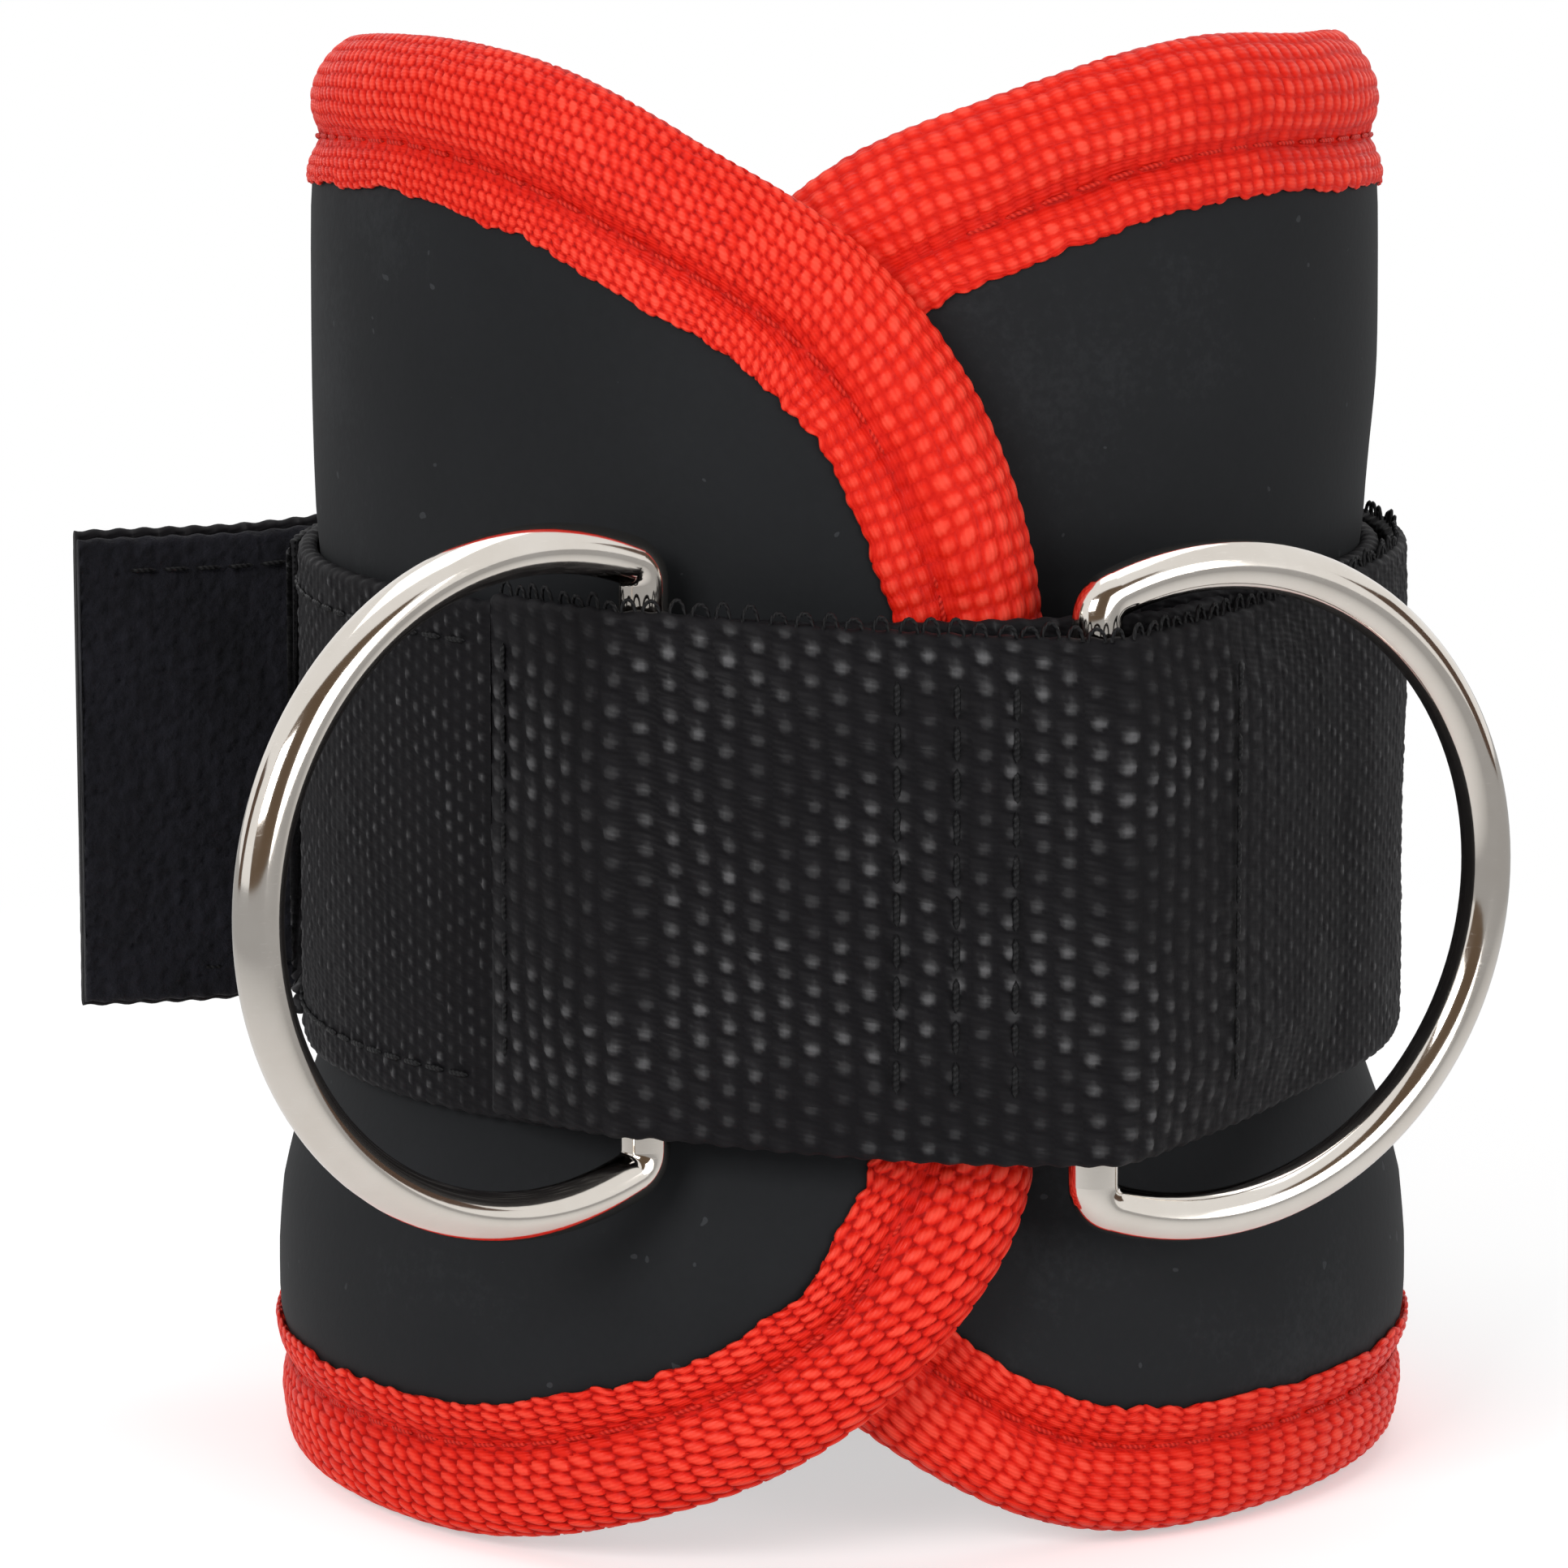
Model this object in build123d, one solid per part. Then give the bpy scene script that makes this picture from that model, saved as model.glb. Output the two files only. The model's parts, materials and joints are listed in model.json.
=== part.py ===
from build123d import *
import os
from math import acos, asin, atan2, cos, degrees, radians, sin, sqrt

# Ankle cuff with two D-rings: a padded cuff whose rounded ends overlap at the
# front, a webbing strap that carries a ring on each side, and a free tail that
# closes with hook-and-loop tape. Millimetres, +Z up, front of the cuff towards -Y.
# The cuff stands on its bottom rim, and the origin is on the floor, on the axis
# of the ankle opening.

# ---- Pad ---------------------------------------------------------------------
half_width = 39.7            # mean outside radius of the pad from the strap upwards
pad_height = 108.0           # bottom rim to top rim, at the front
cover_thickness = 0.9
foam_thickness = 3.8
lining_thickness = 0.9
flare = 2.7                  # how much further out the bottom rim stands
flare_height = 12.0          # height of the bottom rim's upright band
heel_drop = 18.0             # how much lower the top rim is at the heel
lobe_tip = 13.7              # how far each rounded end passes the centre line
inner_lobe_extra = 5.8       # how much further the inner end reaches
lobe_length = 42.0           # length over which an end rounds off

# ---- Binding tape ------------------------------------------------------------
tape_thickness = 0.7
tape_cover = 12.0            # width of tape that shows on each face
tape_seam_inset = 9.0        # stitch line, measured from the outer edge
lobe_clearance = 0.3         # free space between the two ends where their tapes cross

# ---- Webbing -----------------------------------------------------------------
webbing_width = 38.0
webbing_thickness = 1.5
webbing_middle = 51.0        # height of the strap's centre line
ply_gap = 0.05               # free space between plies that are sewn together
strap_slack = 0.55           # how far the strap stands off the webbing under it
strap_start = 26.0           # sewn end of the strap, left of the centre line
webbing_start = 30.0         # angle round the right side where the base webbing starts
elbow_radius = 4.5           # bend of the base webbing behind the right ring's bar
elbow_margin = 1.0           # degrees past the bar where the webbing leaves the pad
flap_length = 7.0            # sewn overlap of base webbing and strap past the bend

# ---- Rings -------------------------------------------------------------------
ring_wire = 3.6
ring_bow_radius = 23.7       # centre line of the round bow
ring_bar_offset = 9.5        # bow centre to bar
ring_corner = 2.0            # centre-line radius where bar and bow meet
ring_bar_x = 16.0            # bars left and right of the centre line
ring_play = 0.35             # free space round a bar
left_ring_tilt = -38.6       # ring plane, back from the frontal plane
right_ring_tilt = 28.4
left_ring_rise = 1.3         # where each ring has slid to along its bar
right_ring_rise = -1.3

# ---- Tail and fastener -------------------------------------------------------
tail_angle = 42.0            # where the tail leaves the cuff, past the back's centre line
tail_root = 10.5             # straight stretch from there to the outward bend
tail_bend_radius = 20.0
tail_bend = 27.0             # degrees that the tail turns outwards
tail_end = 17.0              # straight stretch after the bend
tail_split = 0.3             # free space between strap and tail at their joint
pile_thickness = 1.3
hook_thickness = 1.0
hook_length = 20.0
hook_start = 18.0            # degrees past the point where the tail leaves
fastener_inset = 0.5         # tape edges inside the webbing's edges

# ---- Stitching ---------------------------------------------------------------
thread_width = 0.6
thread_proud = 0.1           # how far a stitch line stands out of its ply
thread_sunk = 0.25           # how deep it lies in its ply
seam_inset = 3.0             # stitch lines inside the webbing's edges
centre_seam_x = 6.0          # middle one of the three upright lines
centre_seam_pitch = 4.2
strap_end_seam_inset = 1.6   # first stitch line, from the strap's cut end

# ---- Derived sizes -----------------------------------------------------------
pad_thickness = cover_thickness + foam_thickness + lining_thickness
lobe_step = pad_thickness + 2 * tape_thickness + lobe_clearance
axis_shift = lobe_step / 4
outer_radius = half_width + lobe_step / 4      # left side, which ends outside
inner_radius = half_width - lobe_step / 4      # right side, which ends inside
left_axis = (0.0, -axis_shift)
right_axis = (0.0, axis_shift)
middle_height = pad_height / 2
back_reach = outer_radius - axis_shift
heel_arc = (back_reach ** 2 + heel_drop ** 2) / (2 * heel_drop)
webbing_bottom = webbing_middle - webbing_width / 2
webbing_top = webbing_middle + webbing_width / 2
bar_reach = outer_radius + webbing_thickness + ring_play + ring_wire / 2
bar_y = left_axis[1] - sqrt(bar_reach ** 2 - ring_bar_x ** 2)
bar_turn = ring_wire / 2 + ring_play           # strap's inner face round a bar
far = 3 * half_width                           # beyond the cuff in every direction
over = 5.0                                     # cutting tools run past by this much


# ---- Pad, built round two upright axes ---------------------------------------
def wall_profile(radius, low_offset, high_offset):
    """Upright section of one layer: straight above, flared towards the bottom rim."""
    levels = [
        (-over, flare),
        (flare_height, flare),
        (webbing_bottom, 0.0),
        (pad_height + over, 0.0),
    ]
    outside = [(radius + high_offset + out, z) for z, out in levels]
    inside = [(radius + low_offset + out, z) for z, out in reversed(levels)]
    return outside + inside


def sector(axis, radius, low_offset, high_offset, start, turn):
    """A layer swept round one axis, from the start angle and counterclockwise."""
    with BuildSketch(Plane.XZ) as section:
        with BuildLine():
            Polyline(*wall_profile(radius, low_offset, high_offset), close=True)
        make_face()
    swept = revolve(section.sketch, Axis.Z, revolution_arc=turn)
    return Pos(axis[0], axis[1], 0) * Rot(0, 0, start) * swept


def lobe_outline(inset, tip):
    """Front half of the pad seen from the front: level edges and one rounded end."""
    half_height = middle_height - inset
    centre_x = tip - lobe_length
    with BuildSketch(Plane.XZ) as outline:
        with Locations((centre_x, middle_height)):
            Ellipse(lobe_length - inset, half_height)
        with Locations(((centre_x - far) / 2, middle_height)):
            Rectangle(centre_x + far, 2 * half_height)
    return extrude(outline.sketch, amount=far)


def heel_outline(inset):
    """Back half of the pad seen from the side: the top rim falls to the heel."""
    centre_z = pad_height - inset - heel_arc
    reach = back_reach + over
    fall = centre_z + sqrt(heel_arc ** 2 - reach ** 2)
    middle_y = reach / 2
    middle_z = centre_z + sqrt(heel_arc ** 2 - middle_y ** 2)
    with BuildSketch(Plane.YZ) as outline:
        with BuildLine():
            Polyline((0, pad_height - inset), (0, inset), (reach, inset), (reach, fall))
            ThreePointArc((reach, fall), (middle_y, middle_z), (0, pad_height - inset))
        make_face()
    return extrude(outline.sketch, amount=far, both=True)


def pad_layer(low_offset, high_offset, inset):
    """One layer of the whole pad, between two offsets from its outside face."""
    back = heel_outline(inset)
    left_keep = lobe_outline(inset, lobe_tip) + back
    right_keep = mirror(lobe_outline(inset, lobe_tip + inner_lobe_extra), Plane.YZ) + back
    left = sector(left_axis, outer_radius, low_offset, high_offset, 90, 225) & left_keep
    right = sector(right_axis, inner_radius, low_offset, high_offset, -135, 225) & right_keep
    return left + right


def make_pad():
    """Lining, foam and cover, all cut to one outline inside the binding tape."""
    edge = tape_thickness
    cover = pad_layer(-cover_thickness, 0, edge)
    foam = pad_layer(-cover_thickness - foam_thickness, -cover_thickness, edge)
    lining = pad_layer(-pad_thickness, -cover_thickness - foam_thickness, edge)
    return cover, foam, lining


def seam_band(low_offset, high_offset):
    """A thin line of thread that follows the pad's edge."""
    outer = pad_layer(low_offset, high_offset, tape_seam_inset - thread_width / 2)
    inner = pad_layer(low_offset - 1, high_offset + 1, tape_seam_inset + thread_width / 2)
    return outer - inner


def make_binding():
    """Tape folded over the pad's edge, and its stitch line on each face."""
    face = tape_thickness
    back_face = -pad_thickness - tape_thickness
    block = pad_layer(back_face, face, 0)
    block -= pad_layer(back_face - 1, face + 1, tape_cover)
    block -= pad_layer(-pad_thickness, 0, tape_thickness)
    outer_seam = seam_band(face - thread_sunk, face + thread_proud)
    inner_seam = seam_band(back_face - thread_proud, back_face + thread_sunk)
    return block - outer_seam - inner_seam, outer_seam, inner_seam


# ---- Webbing, as a belt laid round circles -------------------------------------
# A belt is a list of circles (x, y, radius). It touches each one on the side of its
# outward normal. A negative radius is a bend the other way, with the circle outside.
def tangent_angle(first, second):
    """Outward normal, in degrees, of the straight run between two circles."""
    across = (second[0] - first[0], second[1] - first[1])
    distance = sqrt(across[0] ** 2 + across[1] ** 2)
    lean = acos(max(-1.0, min(1.0, (first[2] - second[2]) / distance)))
    return degrees(atan2(across[1], across[0]) - lean)


def belt_point(circle, angle, lift):
    """Where a belt lifted off its inner face touches a circle."""
    reach = circle[2] + lift
    return (circle[0] + reach * cos(radians(angle)), circle[1] + reach * sin(radians(angle)))


def turn_on(angle, previous, radius):
    """The same angle, written so that the belt turns on round the circle to it."""
    slip = 0.001
    while radius >= 0 and angle < previous - slip:
        angle += 360
    while radius >= 0 and angle > previous + 360 - slip:
        angle -= 360
    while radius < 0 and angle > previous + slip:
        angle -= 360
    return angle


def belt_edges(circles, first_angle, last_angle, lift, run_out=0.0):
    """Arcs and straight runs of one face of a belt."""
    edges = []
    angle = first_angle
    here = belt_point(circles[0], angle, lift)
    for index, circle in enumerate(circles):
        if index + 1 < len(circles):
            leave = turn_on(tangent_angle(circle, circles[index + 1]), angle, circle[2])
        else:
            leave = last_angle
        if index > 0:
            start = belt_point(circle, angle, lift)
            if (Vector(*start) - Vector(*here)).length > 0.01:
                edges.append(Line(here, start))
            here = start
        if abs(leave - angle) > 0.01 and abs(circle[2] + lift) > 0.01:
            middle = belt_point(circle, (angle + leave) / 2, lift)
            end = belt_point(circle, leave, lift)
            edges.append(ThreePointArc(here, middle, end))
            here = end
        angle = leave
    if run_out > 0:
        heading = radians(angle + 90)
        end = (here[0] + run_out * cos(heading), here[1] + run_out * sin(heading))
        edges.append(Line(here, end))
    return edges


def strip(circles, angles, lifts, levels, run_out=0.0):
    """A band between two lifts off the belt's inner face and two heights."""
    inner = belt_edges(circles, angles[0], angles[1], lifts[0], run_out)
    outer = belt_edges(circles, angles[0], angles[1], lifts[1], run_out)
    closing = [Line(inner[0] @ 0, outer[0] @ 0), Line(inner[-1] @ 1, outer[-1] @ 1)]
    face = make_face(Curve(inner + outer + closing).edges())
    return Pos(0, 0, levels[0]) * extrude(face, amount=levels[1] - levels[0], dir=(0, 0, 1))


def levels_inside(inset):
    """Heights of a band that lies this far inside the webbing's edges."""
    return webbing_bottom + inset, webbing_top - inset


def seam_levels():
    """Heights of the two stitch rows along a band's edges."""
    low = webbing_bottom + seam_inset - thread_width / 2
    high = webbing_top - seam_inset - thread_width / 2
    return (low, low + thread_width), (high, high + thread_width)


left_bar = (-ring_bar_x, bar_y, bar_turn)
right_bar = (ring_bar_x, bar_y, bar_turn)
strap_lift = webbing_thickness + strap_slack
right_turn = (right_axis[0], right_axis[1], inner_radius + strap_lift)
left_turn = (left_axis[0], left_axis[1], outer_radius + strap_lift)
slope = tangent_angle(right_bar, right_turn)   # normal of the strap past the right bar
tail_normal = 90 + tail_angle


def along(point, normal, forward, outward):
    """A point moved along a belt's run and out along its normal."""
    heading = radians(normal + 90)
    out = radians(normal)
    x = point[0] + forward * cos(heading) + outward * cos(out)
    y = point[1] + forward * sin(heading) + outward * sin(out)
    return (x, y)


def dot(angle, point):
    """How far a point lies out along a normal at this angle."""
    return point[0] * cos(radians(angle)) + point[1] * sin(radians(angle))


def elbow_circle():
    """Bend of the base webbing, from behind the right bar on to the strap's slope."""
    first = 270 + degrees(asin(ring_bar_x / bar_reach)) + elbow_margin
    outside = elbow_radius + webbing_thickness
    first_reach = dot(first, left_axis) + outer_radius + webbing_thickness - outside
    second_reach = dot(slope, belt_point(right_bar, slope, 0)) - ply_gap - outside
    spread = sin(radians(slope - first))
    x = first_reach * sin(radians(slope)) - second_reach * sin(radians(first))
    y = second_reach * cos(radians(first)) - first_reach * cos(radians(slope))
    return (x / spread, y / spread, elbow_radius)


def base_belt():
    """The base webbing's belt: right side, back, left side, front, then the bend."""
    right = (right_axis[0], right_axis[1], inner_radius)
    left = (left_axis[0], left_axis[1], outer_radius)
    return [right, left, elbow_circle()]


def strap_belt():
    """The strap's belt: sewn end, both ring bars, then loosely round to the tail."""
    base_face = outer_radius + webbing_thickness + ply_gap
    start_y = left_axis[1] - sqrt(base_face ** 2 - strap_start ** 2)
    return [(-strap_start, start_y, 0.0), left_bar, right_bar, right_turn, left_turn]


def tail_belt():
    """The tail's belt: straight on from the strap's end, then bending outwards."""
    root = belt_point(left_turn, tail_normal, 0)
    start = along(root, tail_normal, tail_split, 0)
    centre = along(root, tail_normal, tail_root, tail_bend_radius)
    return [(start[0], start[1], 0.0), (centre[0], centre[1], -tail_bend_radius)]


def upright_seam(point, normal):
    """One stitch line across the strap, at a point of the strap's outer face."""
    depth = thread_proud + thread_sunk
    low, high = levels_inside(seam_inset)
    centre = along(point, normal, 0, thread_proud - depth / 2)
    bar = Box(depth, thread_width, high - low)
    return Pos(centre[0], centre[1], (low + high) / 2) * Rot(0, 0, normal) * bar


def make_base_webbing(binding, binding_seam):
    """Webbing sewn round the pad; it passes over the tape at the outer end's tip."""
    belt = base_belt()
    angles = (webbing_start - 90, slope + 360)
    body = strip(belt, angles, (0, webbing_thickness), levels_inside(0), flap_length)
    body = body - binding - binding_seam
    seam_end = 270 - degrees(asin(strap_start / outer_radius)) - 2
    lifts = (webbing_thickness - thread_sunk, webbing_thickness + thread_proud)
    rows = [strip(belt[:2], (angles[0] + 2, seam_end), lifts, row) for row in seam_levels()]
    for row in rows:
        body -= row
    return body, Compound(children=rows)


def make_strap():
    """The strap over both bars and round the cuff, with its stitch lines."""
    belt = strap_belt()
    start_normal = tangent_angle(belt[0], belt[1])
    angles = (start_normal, tail_normal)
    body = strip(belt, angles, (0, webbing_thickness), levels_inside(0))
    thick = webbing_thickness
    end_point = along(belt[0], start_normal, strap_end_seam_inset, thick)
    end_seam = upright_seam(end_point, start_normal)
    front_y = bar_y - bar_turn - thick
    places = [centre_seam_x + step * centre_seam_pitch for step in (-1, 0, 1)]
    centre_seams = [upright_seam((x, front_y), 270) for x in places]
    flap_middle = along(elbow_circle(), slope, flap_length / 2, 0)
    rise = dot(slope, belt_point(right_bar, slope, thick)) - dot(slope, flap_middle)
    tunnel_seam = upright_seam(along(flap_middle, slope, 0, rise), slope)
    for seam in [end_seam, tunnel_seam] + centre_seams:
        body -= seam
    return body, end_seam, Compound(children=centre_seams), tunnel_seam


def make_tail():
    """The free tail, its pile tape on the side towards the cuff, and the stitching."""
    angles = (tail_normal, tail_normal - tail_bend)
    webbing = strip(tail_belt(), angles, (0, webbing_thickness), levels_inside(0), tail_end)
    near = -ply_gap
    away = near - pile_thickness
    tape_belt = tail_belt()[1:]
    pile = strip(tape_belt, angles, (away, near), levels_inside(fastener_inset), tail_end)
    lifts = (away - thread_proud, away + thread_sunk)
    rows = [strip(tape_belt, angles, lifts, row, tail_end - seam_inset) for row in seam_levels()]
    for row in rows:
        pile -= row
    return webbing, pile, Compound(children=rows)


def make_hook_tape():
    """Hook tape on the base webbing, where the tail closes."""
    turn = [(left_axis[0], left_axis[1], outer_radius + webbing_thickness)]
    start = tail_normal + hook_start
    stop = start + degrees(hook_length / outer_radius)
    near = thread_proud + ply_gap
    face = near + hook_thickness
    tape = strip(turn, (start, stop), (near, face), levels_inside(fastener_inset))
    margin = degrees(seam_inset / outer_radius)
    lifts = (face - thread_sunk, face + thread_proud)
    rows = [strip(turn, (start + margin, stop - margin), lifts, row) for row in seam_levels()]
    for row in rows:
        tape -= row
    return tape, Compound(children=rows)


# ---- Rings -------------------------------------------------------------------
def make_ring():
    """A D-ring with its bar on the Z axis and its bow towards +X."""
    half_bar = sqrt(ring_bow_radius ** 2 - ring_bar_offset ** 2)
    bow_end = ring_bar_offset + ring_bow_radius
    with BuildSketch(Plane.XZ) as eye:
        with BuildLine():
            Line((0, -half_bar), (0, half_bar))
            ThreePointArc((0, half_bar), (bow_end, 0), (0, -half_bar))
        make_face()
        fillet(eye.vertices(), ring_corner)
    path = eye.sketch.faces()[0].outer_wire()
    section = Plane(path @ 0, z_dir=path % 0) * Circle(ring_wire / 2)
    return sweep(section, path=path)


def place_ring(side, tilt, rise):
    """The ring turned to its resting tilt, on the left (-1) or right (1) bar."""
    direction = 180 - tilt if side < 0 else tilt
    middle = webbing_middle + rise
    return Pos(side * ring_bar_x, bar_y, middle) * Rot(0, 0, direction) * make_ring()


# ---- Write one file per piece --------------------------------------------------
def build():
    """Every piece of the cuff, by name."""
    cover, foam, lining = make_pad()
    binding, outer_seam, inner_seam = make_binding()
    base_webbing, base_seams = make_base_webbing(binding, outer_seam)
    strap, end_seam, centre_seams, tunnel_seam = make_strap()
    tail, pile, pile_seams = make_tail()
    hook, hook_seams = make_hook_tape()
    return {
        "outer_cover": cover,
        "foam_core": foam,
        "inner_lining": lining,
        "edge_binding": binding,
        "binding_seam_outer": outer_seam,
        "binding_seam_inner": inner_seam,
        "base_webbing": base_webbing,
        "base_webbing_seams": base_seams,
        "closure_strap": strap,
        "strap_end_seam": end_seam,
        "centre_seams": centre_seams,
        "right_tunnel_seam": tunnel_seam,
        "strap_tail": tail,
        "pile_tape": pile,
        "pile_tape_seams": pile_seams,
        "hook_tape": hook,
        "hook_tape_seams": hook_seams,
        "left_ring": place_ring(-1, left_ring_tilt, left_ring_rise),
        "right_ring": place_ring(1, right_ring_tilt, right_ring_rise),
    }


os.makedirs("parts", exist_ok=True)
for name, shape in build().items():
    export_step(shape, "parts/" + name + ".step")
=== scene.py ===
import bpy
import json
from math import acos, asin, atan2, cos, degrees, hypot, pi, radians, sin, sqrt
import numpy as np
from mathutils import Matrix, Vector
from mathutils.kdtree import KDTree


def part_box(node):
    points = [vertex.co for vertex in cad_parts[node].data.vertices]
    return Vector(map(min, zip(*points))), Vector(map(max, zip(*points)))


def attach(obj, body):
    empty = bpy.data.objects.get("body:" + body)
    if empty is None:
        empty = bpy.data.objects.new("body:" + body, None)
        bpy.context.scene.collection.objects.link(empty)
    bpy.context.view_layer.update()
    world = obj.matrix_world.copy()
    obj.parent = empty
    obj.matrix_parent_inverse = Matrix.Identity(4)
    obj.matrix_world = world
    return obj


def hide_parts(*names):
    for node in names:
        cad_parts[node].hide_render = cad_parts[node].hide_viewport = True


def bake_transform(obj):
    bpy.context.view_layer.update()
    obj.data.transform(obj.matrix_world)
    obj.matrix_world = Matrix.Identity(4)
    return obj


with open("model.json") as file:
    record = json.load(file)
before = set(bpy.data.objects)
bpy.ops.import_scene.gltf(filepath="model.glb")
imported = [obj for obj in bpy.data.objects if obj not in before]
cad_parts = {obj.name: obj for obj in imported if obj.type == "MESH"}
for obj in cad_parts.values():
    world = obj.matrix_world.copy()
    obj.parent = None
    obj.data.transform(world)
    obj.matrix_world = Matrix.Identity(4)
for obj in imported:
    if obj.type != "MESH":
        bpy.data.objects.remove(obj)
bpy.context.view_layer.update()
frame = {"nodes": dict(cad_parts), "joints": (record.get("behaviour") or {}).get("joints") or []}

# Lengths below are in millimetres and turn into metres where a mesh is made.
# The places and main sizes come from the frame; the rest are sizes of the cloth itself.
MM = 0.001


def box_mm(node):
    """Lowest and highest corner of a CAD node in millimetres."""
    low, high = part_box(node)
    return np.array(low) / MM, np.array(high) / MM


def joint_mm(name):
    """Place of a joint in millimetres."""
    found = [j for j in frame["joints"] if j["name"] == name][0]
    return np.array(found["pos_m"]) / MM


# ---- Sizes read from the frame ----
FLARE = 2.7  # how far the bottom rim stands out past the tube
cover_low, cover_high = box_mm("outer_cover")
rim_low, rim_high = box_mm("edge_binding")
strap_low, strap_high = box_mm("closure_strap")
LEFT_R = -cover_low[0] - FLARE
RIGHT_R = cover_high[0] - FLARE
SHIFT = (LEFT_R - RIGHT_R) / 2
HEIGHT = rim_high[2] - rim_low[2]
MIDDLE = HEIGHT / 2
PAD = 5.6  # thickness of the padded sheet
WEB_LOW, WEB_HIGH = strap_low[2], strap_high[2]
WEB_MID = (WEB_LOW + WEB_HIGH) / 2
WEB_W = WEB_HIGH - WEB_LOW
WEB_T = 1.5  # thickness of the webbing
PLY_GAP = 0.05  # between plies that are sewn together
BAR_X = 16.0  # distance of the ring bars from the centre line
LEFT_BAR = joint_mm("left_ring_swing")
RIGHT_BAR = joint_mm("right_ring_swing")
BAR_TURN = 1.8 + 0.35  # half the ring's wire and its play
STRAP_LIFT = WEB_T + 0.55  # base webbing and slack under the strap


# ---- Small maths ----
def waves(x, y, scale, seed, count=7):
    """Smooth noise of about unit size from a few sine waves."""
    r = np.random.default_rng(seed)
    total = np.zeros(np.broadcast(x, y).shape)
    for _ in range(count):
        angle = r.uniform(0, 2 * pi)
        k = 2 * pi / (scale * r.uniform(0.6, 1.6))
        total += np.sin(k * (x * cos(angle) + y * sin(angle)) + r.uniform(0, 6.3))
    return total / sqrt(count / 2)


def cell_random(i, j, seed):
    """A steady random number from 0 to 1 for each cell of a grid."""
    v = np.sin(i * 127.1 + j * 311.7 + seed * 74.7) * 43758.5453
    return v - np.floor(v)


def smooth(low, high, x):
    t = np.clip((x - low) / (high - low), 0, 1)
    return t * t * (3 - 2 * t)


def dome(x, y, reach_x, reach_y):
    """Height from 0 to 1 of a rounded bead."""
    return np.sqrt(np.clip(1 - (x / reach_x) ** 2 - (y / reach_y) ** 2, 0, 1))


def beads(x, y, rope):
    """Relief of the tape's weave: rounded floats with small ones between, or ropes where they run on."""
    fx, fy = x - np.floor(x) - 0.5, y - np.floor(y) - 0.5
    p, q = (fx + fy) / sqrt(2), (fx - fy) / sqrt(2)
    size = 0.86 + 0.14 * cell_random(np.floor(x), np.floor(y), 3)
    first = dome(p, q, 0.56 + 0.5 * rope, 0.56 - 0.17 * rope) * size
    gx, gy = np.abs(fx) - 0.5, np.abs(fy) - 0.5
    second = 0.55 * dome(gx, gy, 0.38, 0.38) * (1 - rope)
    return np.maximum(first, second)


def curve(points, steps):
    """Catmull-Rom from the second point on to the last but one."""
    p = np.array(points, float)
    t = np.linspace(0, 1, steps, endpoint=False)[:, None]
    return np.vstack([0.5 * (2 * b + (c - a) * t + (2 * a - 5 * b + 4 * c - d) * t ** 2
                             + (3 * b - a - 3 * c + d) * t ** 3)
                      for a, b, c, d in zip(p[:-3], p[1:-2], p[2:-1], p[3:])])


def spline(points, count):
    """Catmull-Rom through points, then spaced evenly along its length."""
    p = np.array(points, float)
    p = np.vstack([2 * p[0] - p[1], p, 2 * p[-1] - p[-2]])
    return resample(np.vstack([curve(p, 24), p[-2:-1]]), count)


def blurred(values, kernel):
    """Values round a loop, averaged with their neighbours."""
    k = len(kernel) // 2
    return np.convolve(np.concatenate([values[-k:], values, values[:k]]), kernel, "valid")


def length_along(line):
    """Length run up to each point of a line."""
    return np.concatenate([[0], np.cumsum(np.linalg.norm(np.diff(line, axis=0), axis=1))])


def along(at, run, line):
    """The line's points at these lengths."""
    return np.stack([np.interp(at, run, column) for column in line.T], -1)


def resample(line, count):
    """The line with evenly spaced points."""
    run = length_along(line)
    return along(np.linspace(0, run[-1], count), run, line)


# ---- Mesh making ----
def mesh_from(name, verts, quads, uvs=None, material=None, relief=None):
    """A smooth mesh object from arrays in millimetres, with a UV pair and a relief for each vertex."""
    verts = np.asarray(verts, float).reshape(-1, 3) * MM
    quads = np.asarray(quads, np.int64).reshape(-1, 4)
    mesh = bpy.data.meshes.new(name)
    mesh.vertices.add(len(verts))
    mesh.vertices.foreach_set("co", verts.astype(np.float32).ravel())
    mesh.loops.add(quads.size)
    mesh.loops.foreach_set("vertex_index", quads.astype(np.int32).ravel())
    mesh.polygons.add(len(quads))
    mesh.polygons.foreach_set("loop_start", np.arange(len(quads), dtype=np.int32) * 4)
    mesh.update(calc_edges=True)
    mesh.validate()
    if uvs is not None:
        layer = mesh.uv_layers.new(name="weave")
        index = np.zeros(len(mesh.loops), np.int32)
        mesh.loops.foreach_get("vertex_index", index)
        layer.data.foreach_set("uv", np.asarray(uvs, np.float32).reshape(-1, 2)[index].ravel())
    mesh.polygons.foreach_set("use_smooth", np.ones(len(mesh.polygons), bool))
    if relief is not None:
        layer = mesh.attributes.new("relief", "FLOAT", "POINT")
        layer.data.foreach_set("value", np.asarray(relief, np.float32).ravel())
    obj = bpy.data.objects.new(name, mesh)
    bpy.context.scene.collection.objects.link(obj)
    if material is not None:
        mesh.materials.append(material)
    return obj


def grid_faces(rows, columns, closed=False, first=0):
    """Quads of a grid of vertices numbered row by row. A closed grid joins its last column to its first."""
    r, c = np.meshgrid(np.arange(rows - 1), np.arange(columns if closed else columns - 1), indexing="ij")
    r2, c2 = r + 1, (c + 1) % columns
    quads = np.stack([r * columns + c, r2 * columns + c, r2 * columns + c2, r * columns + c2], -1)
    return quads.reshape(-1, 4) + first


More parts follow.
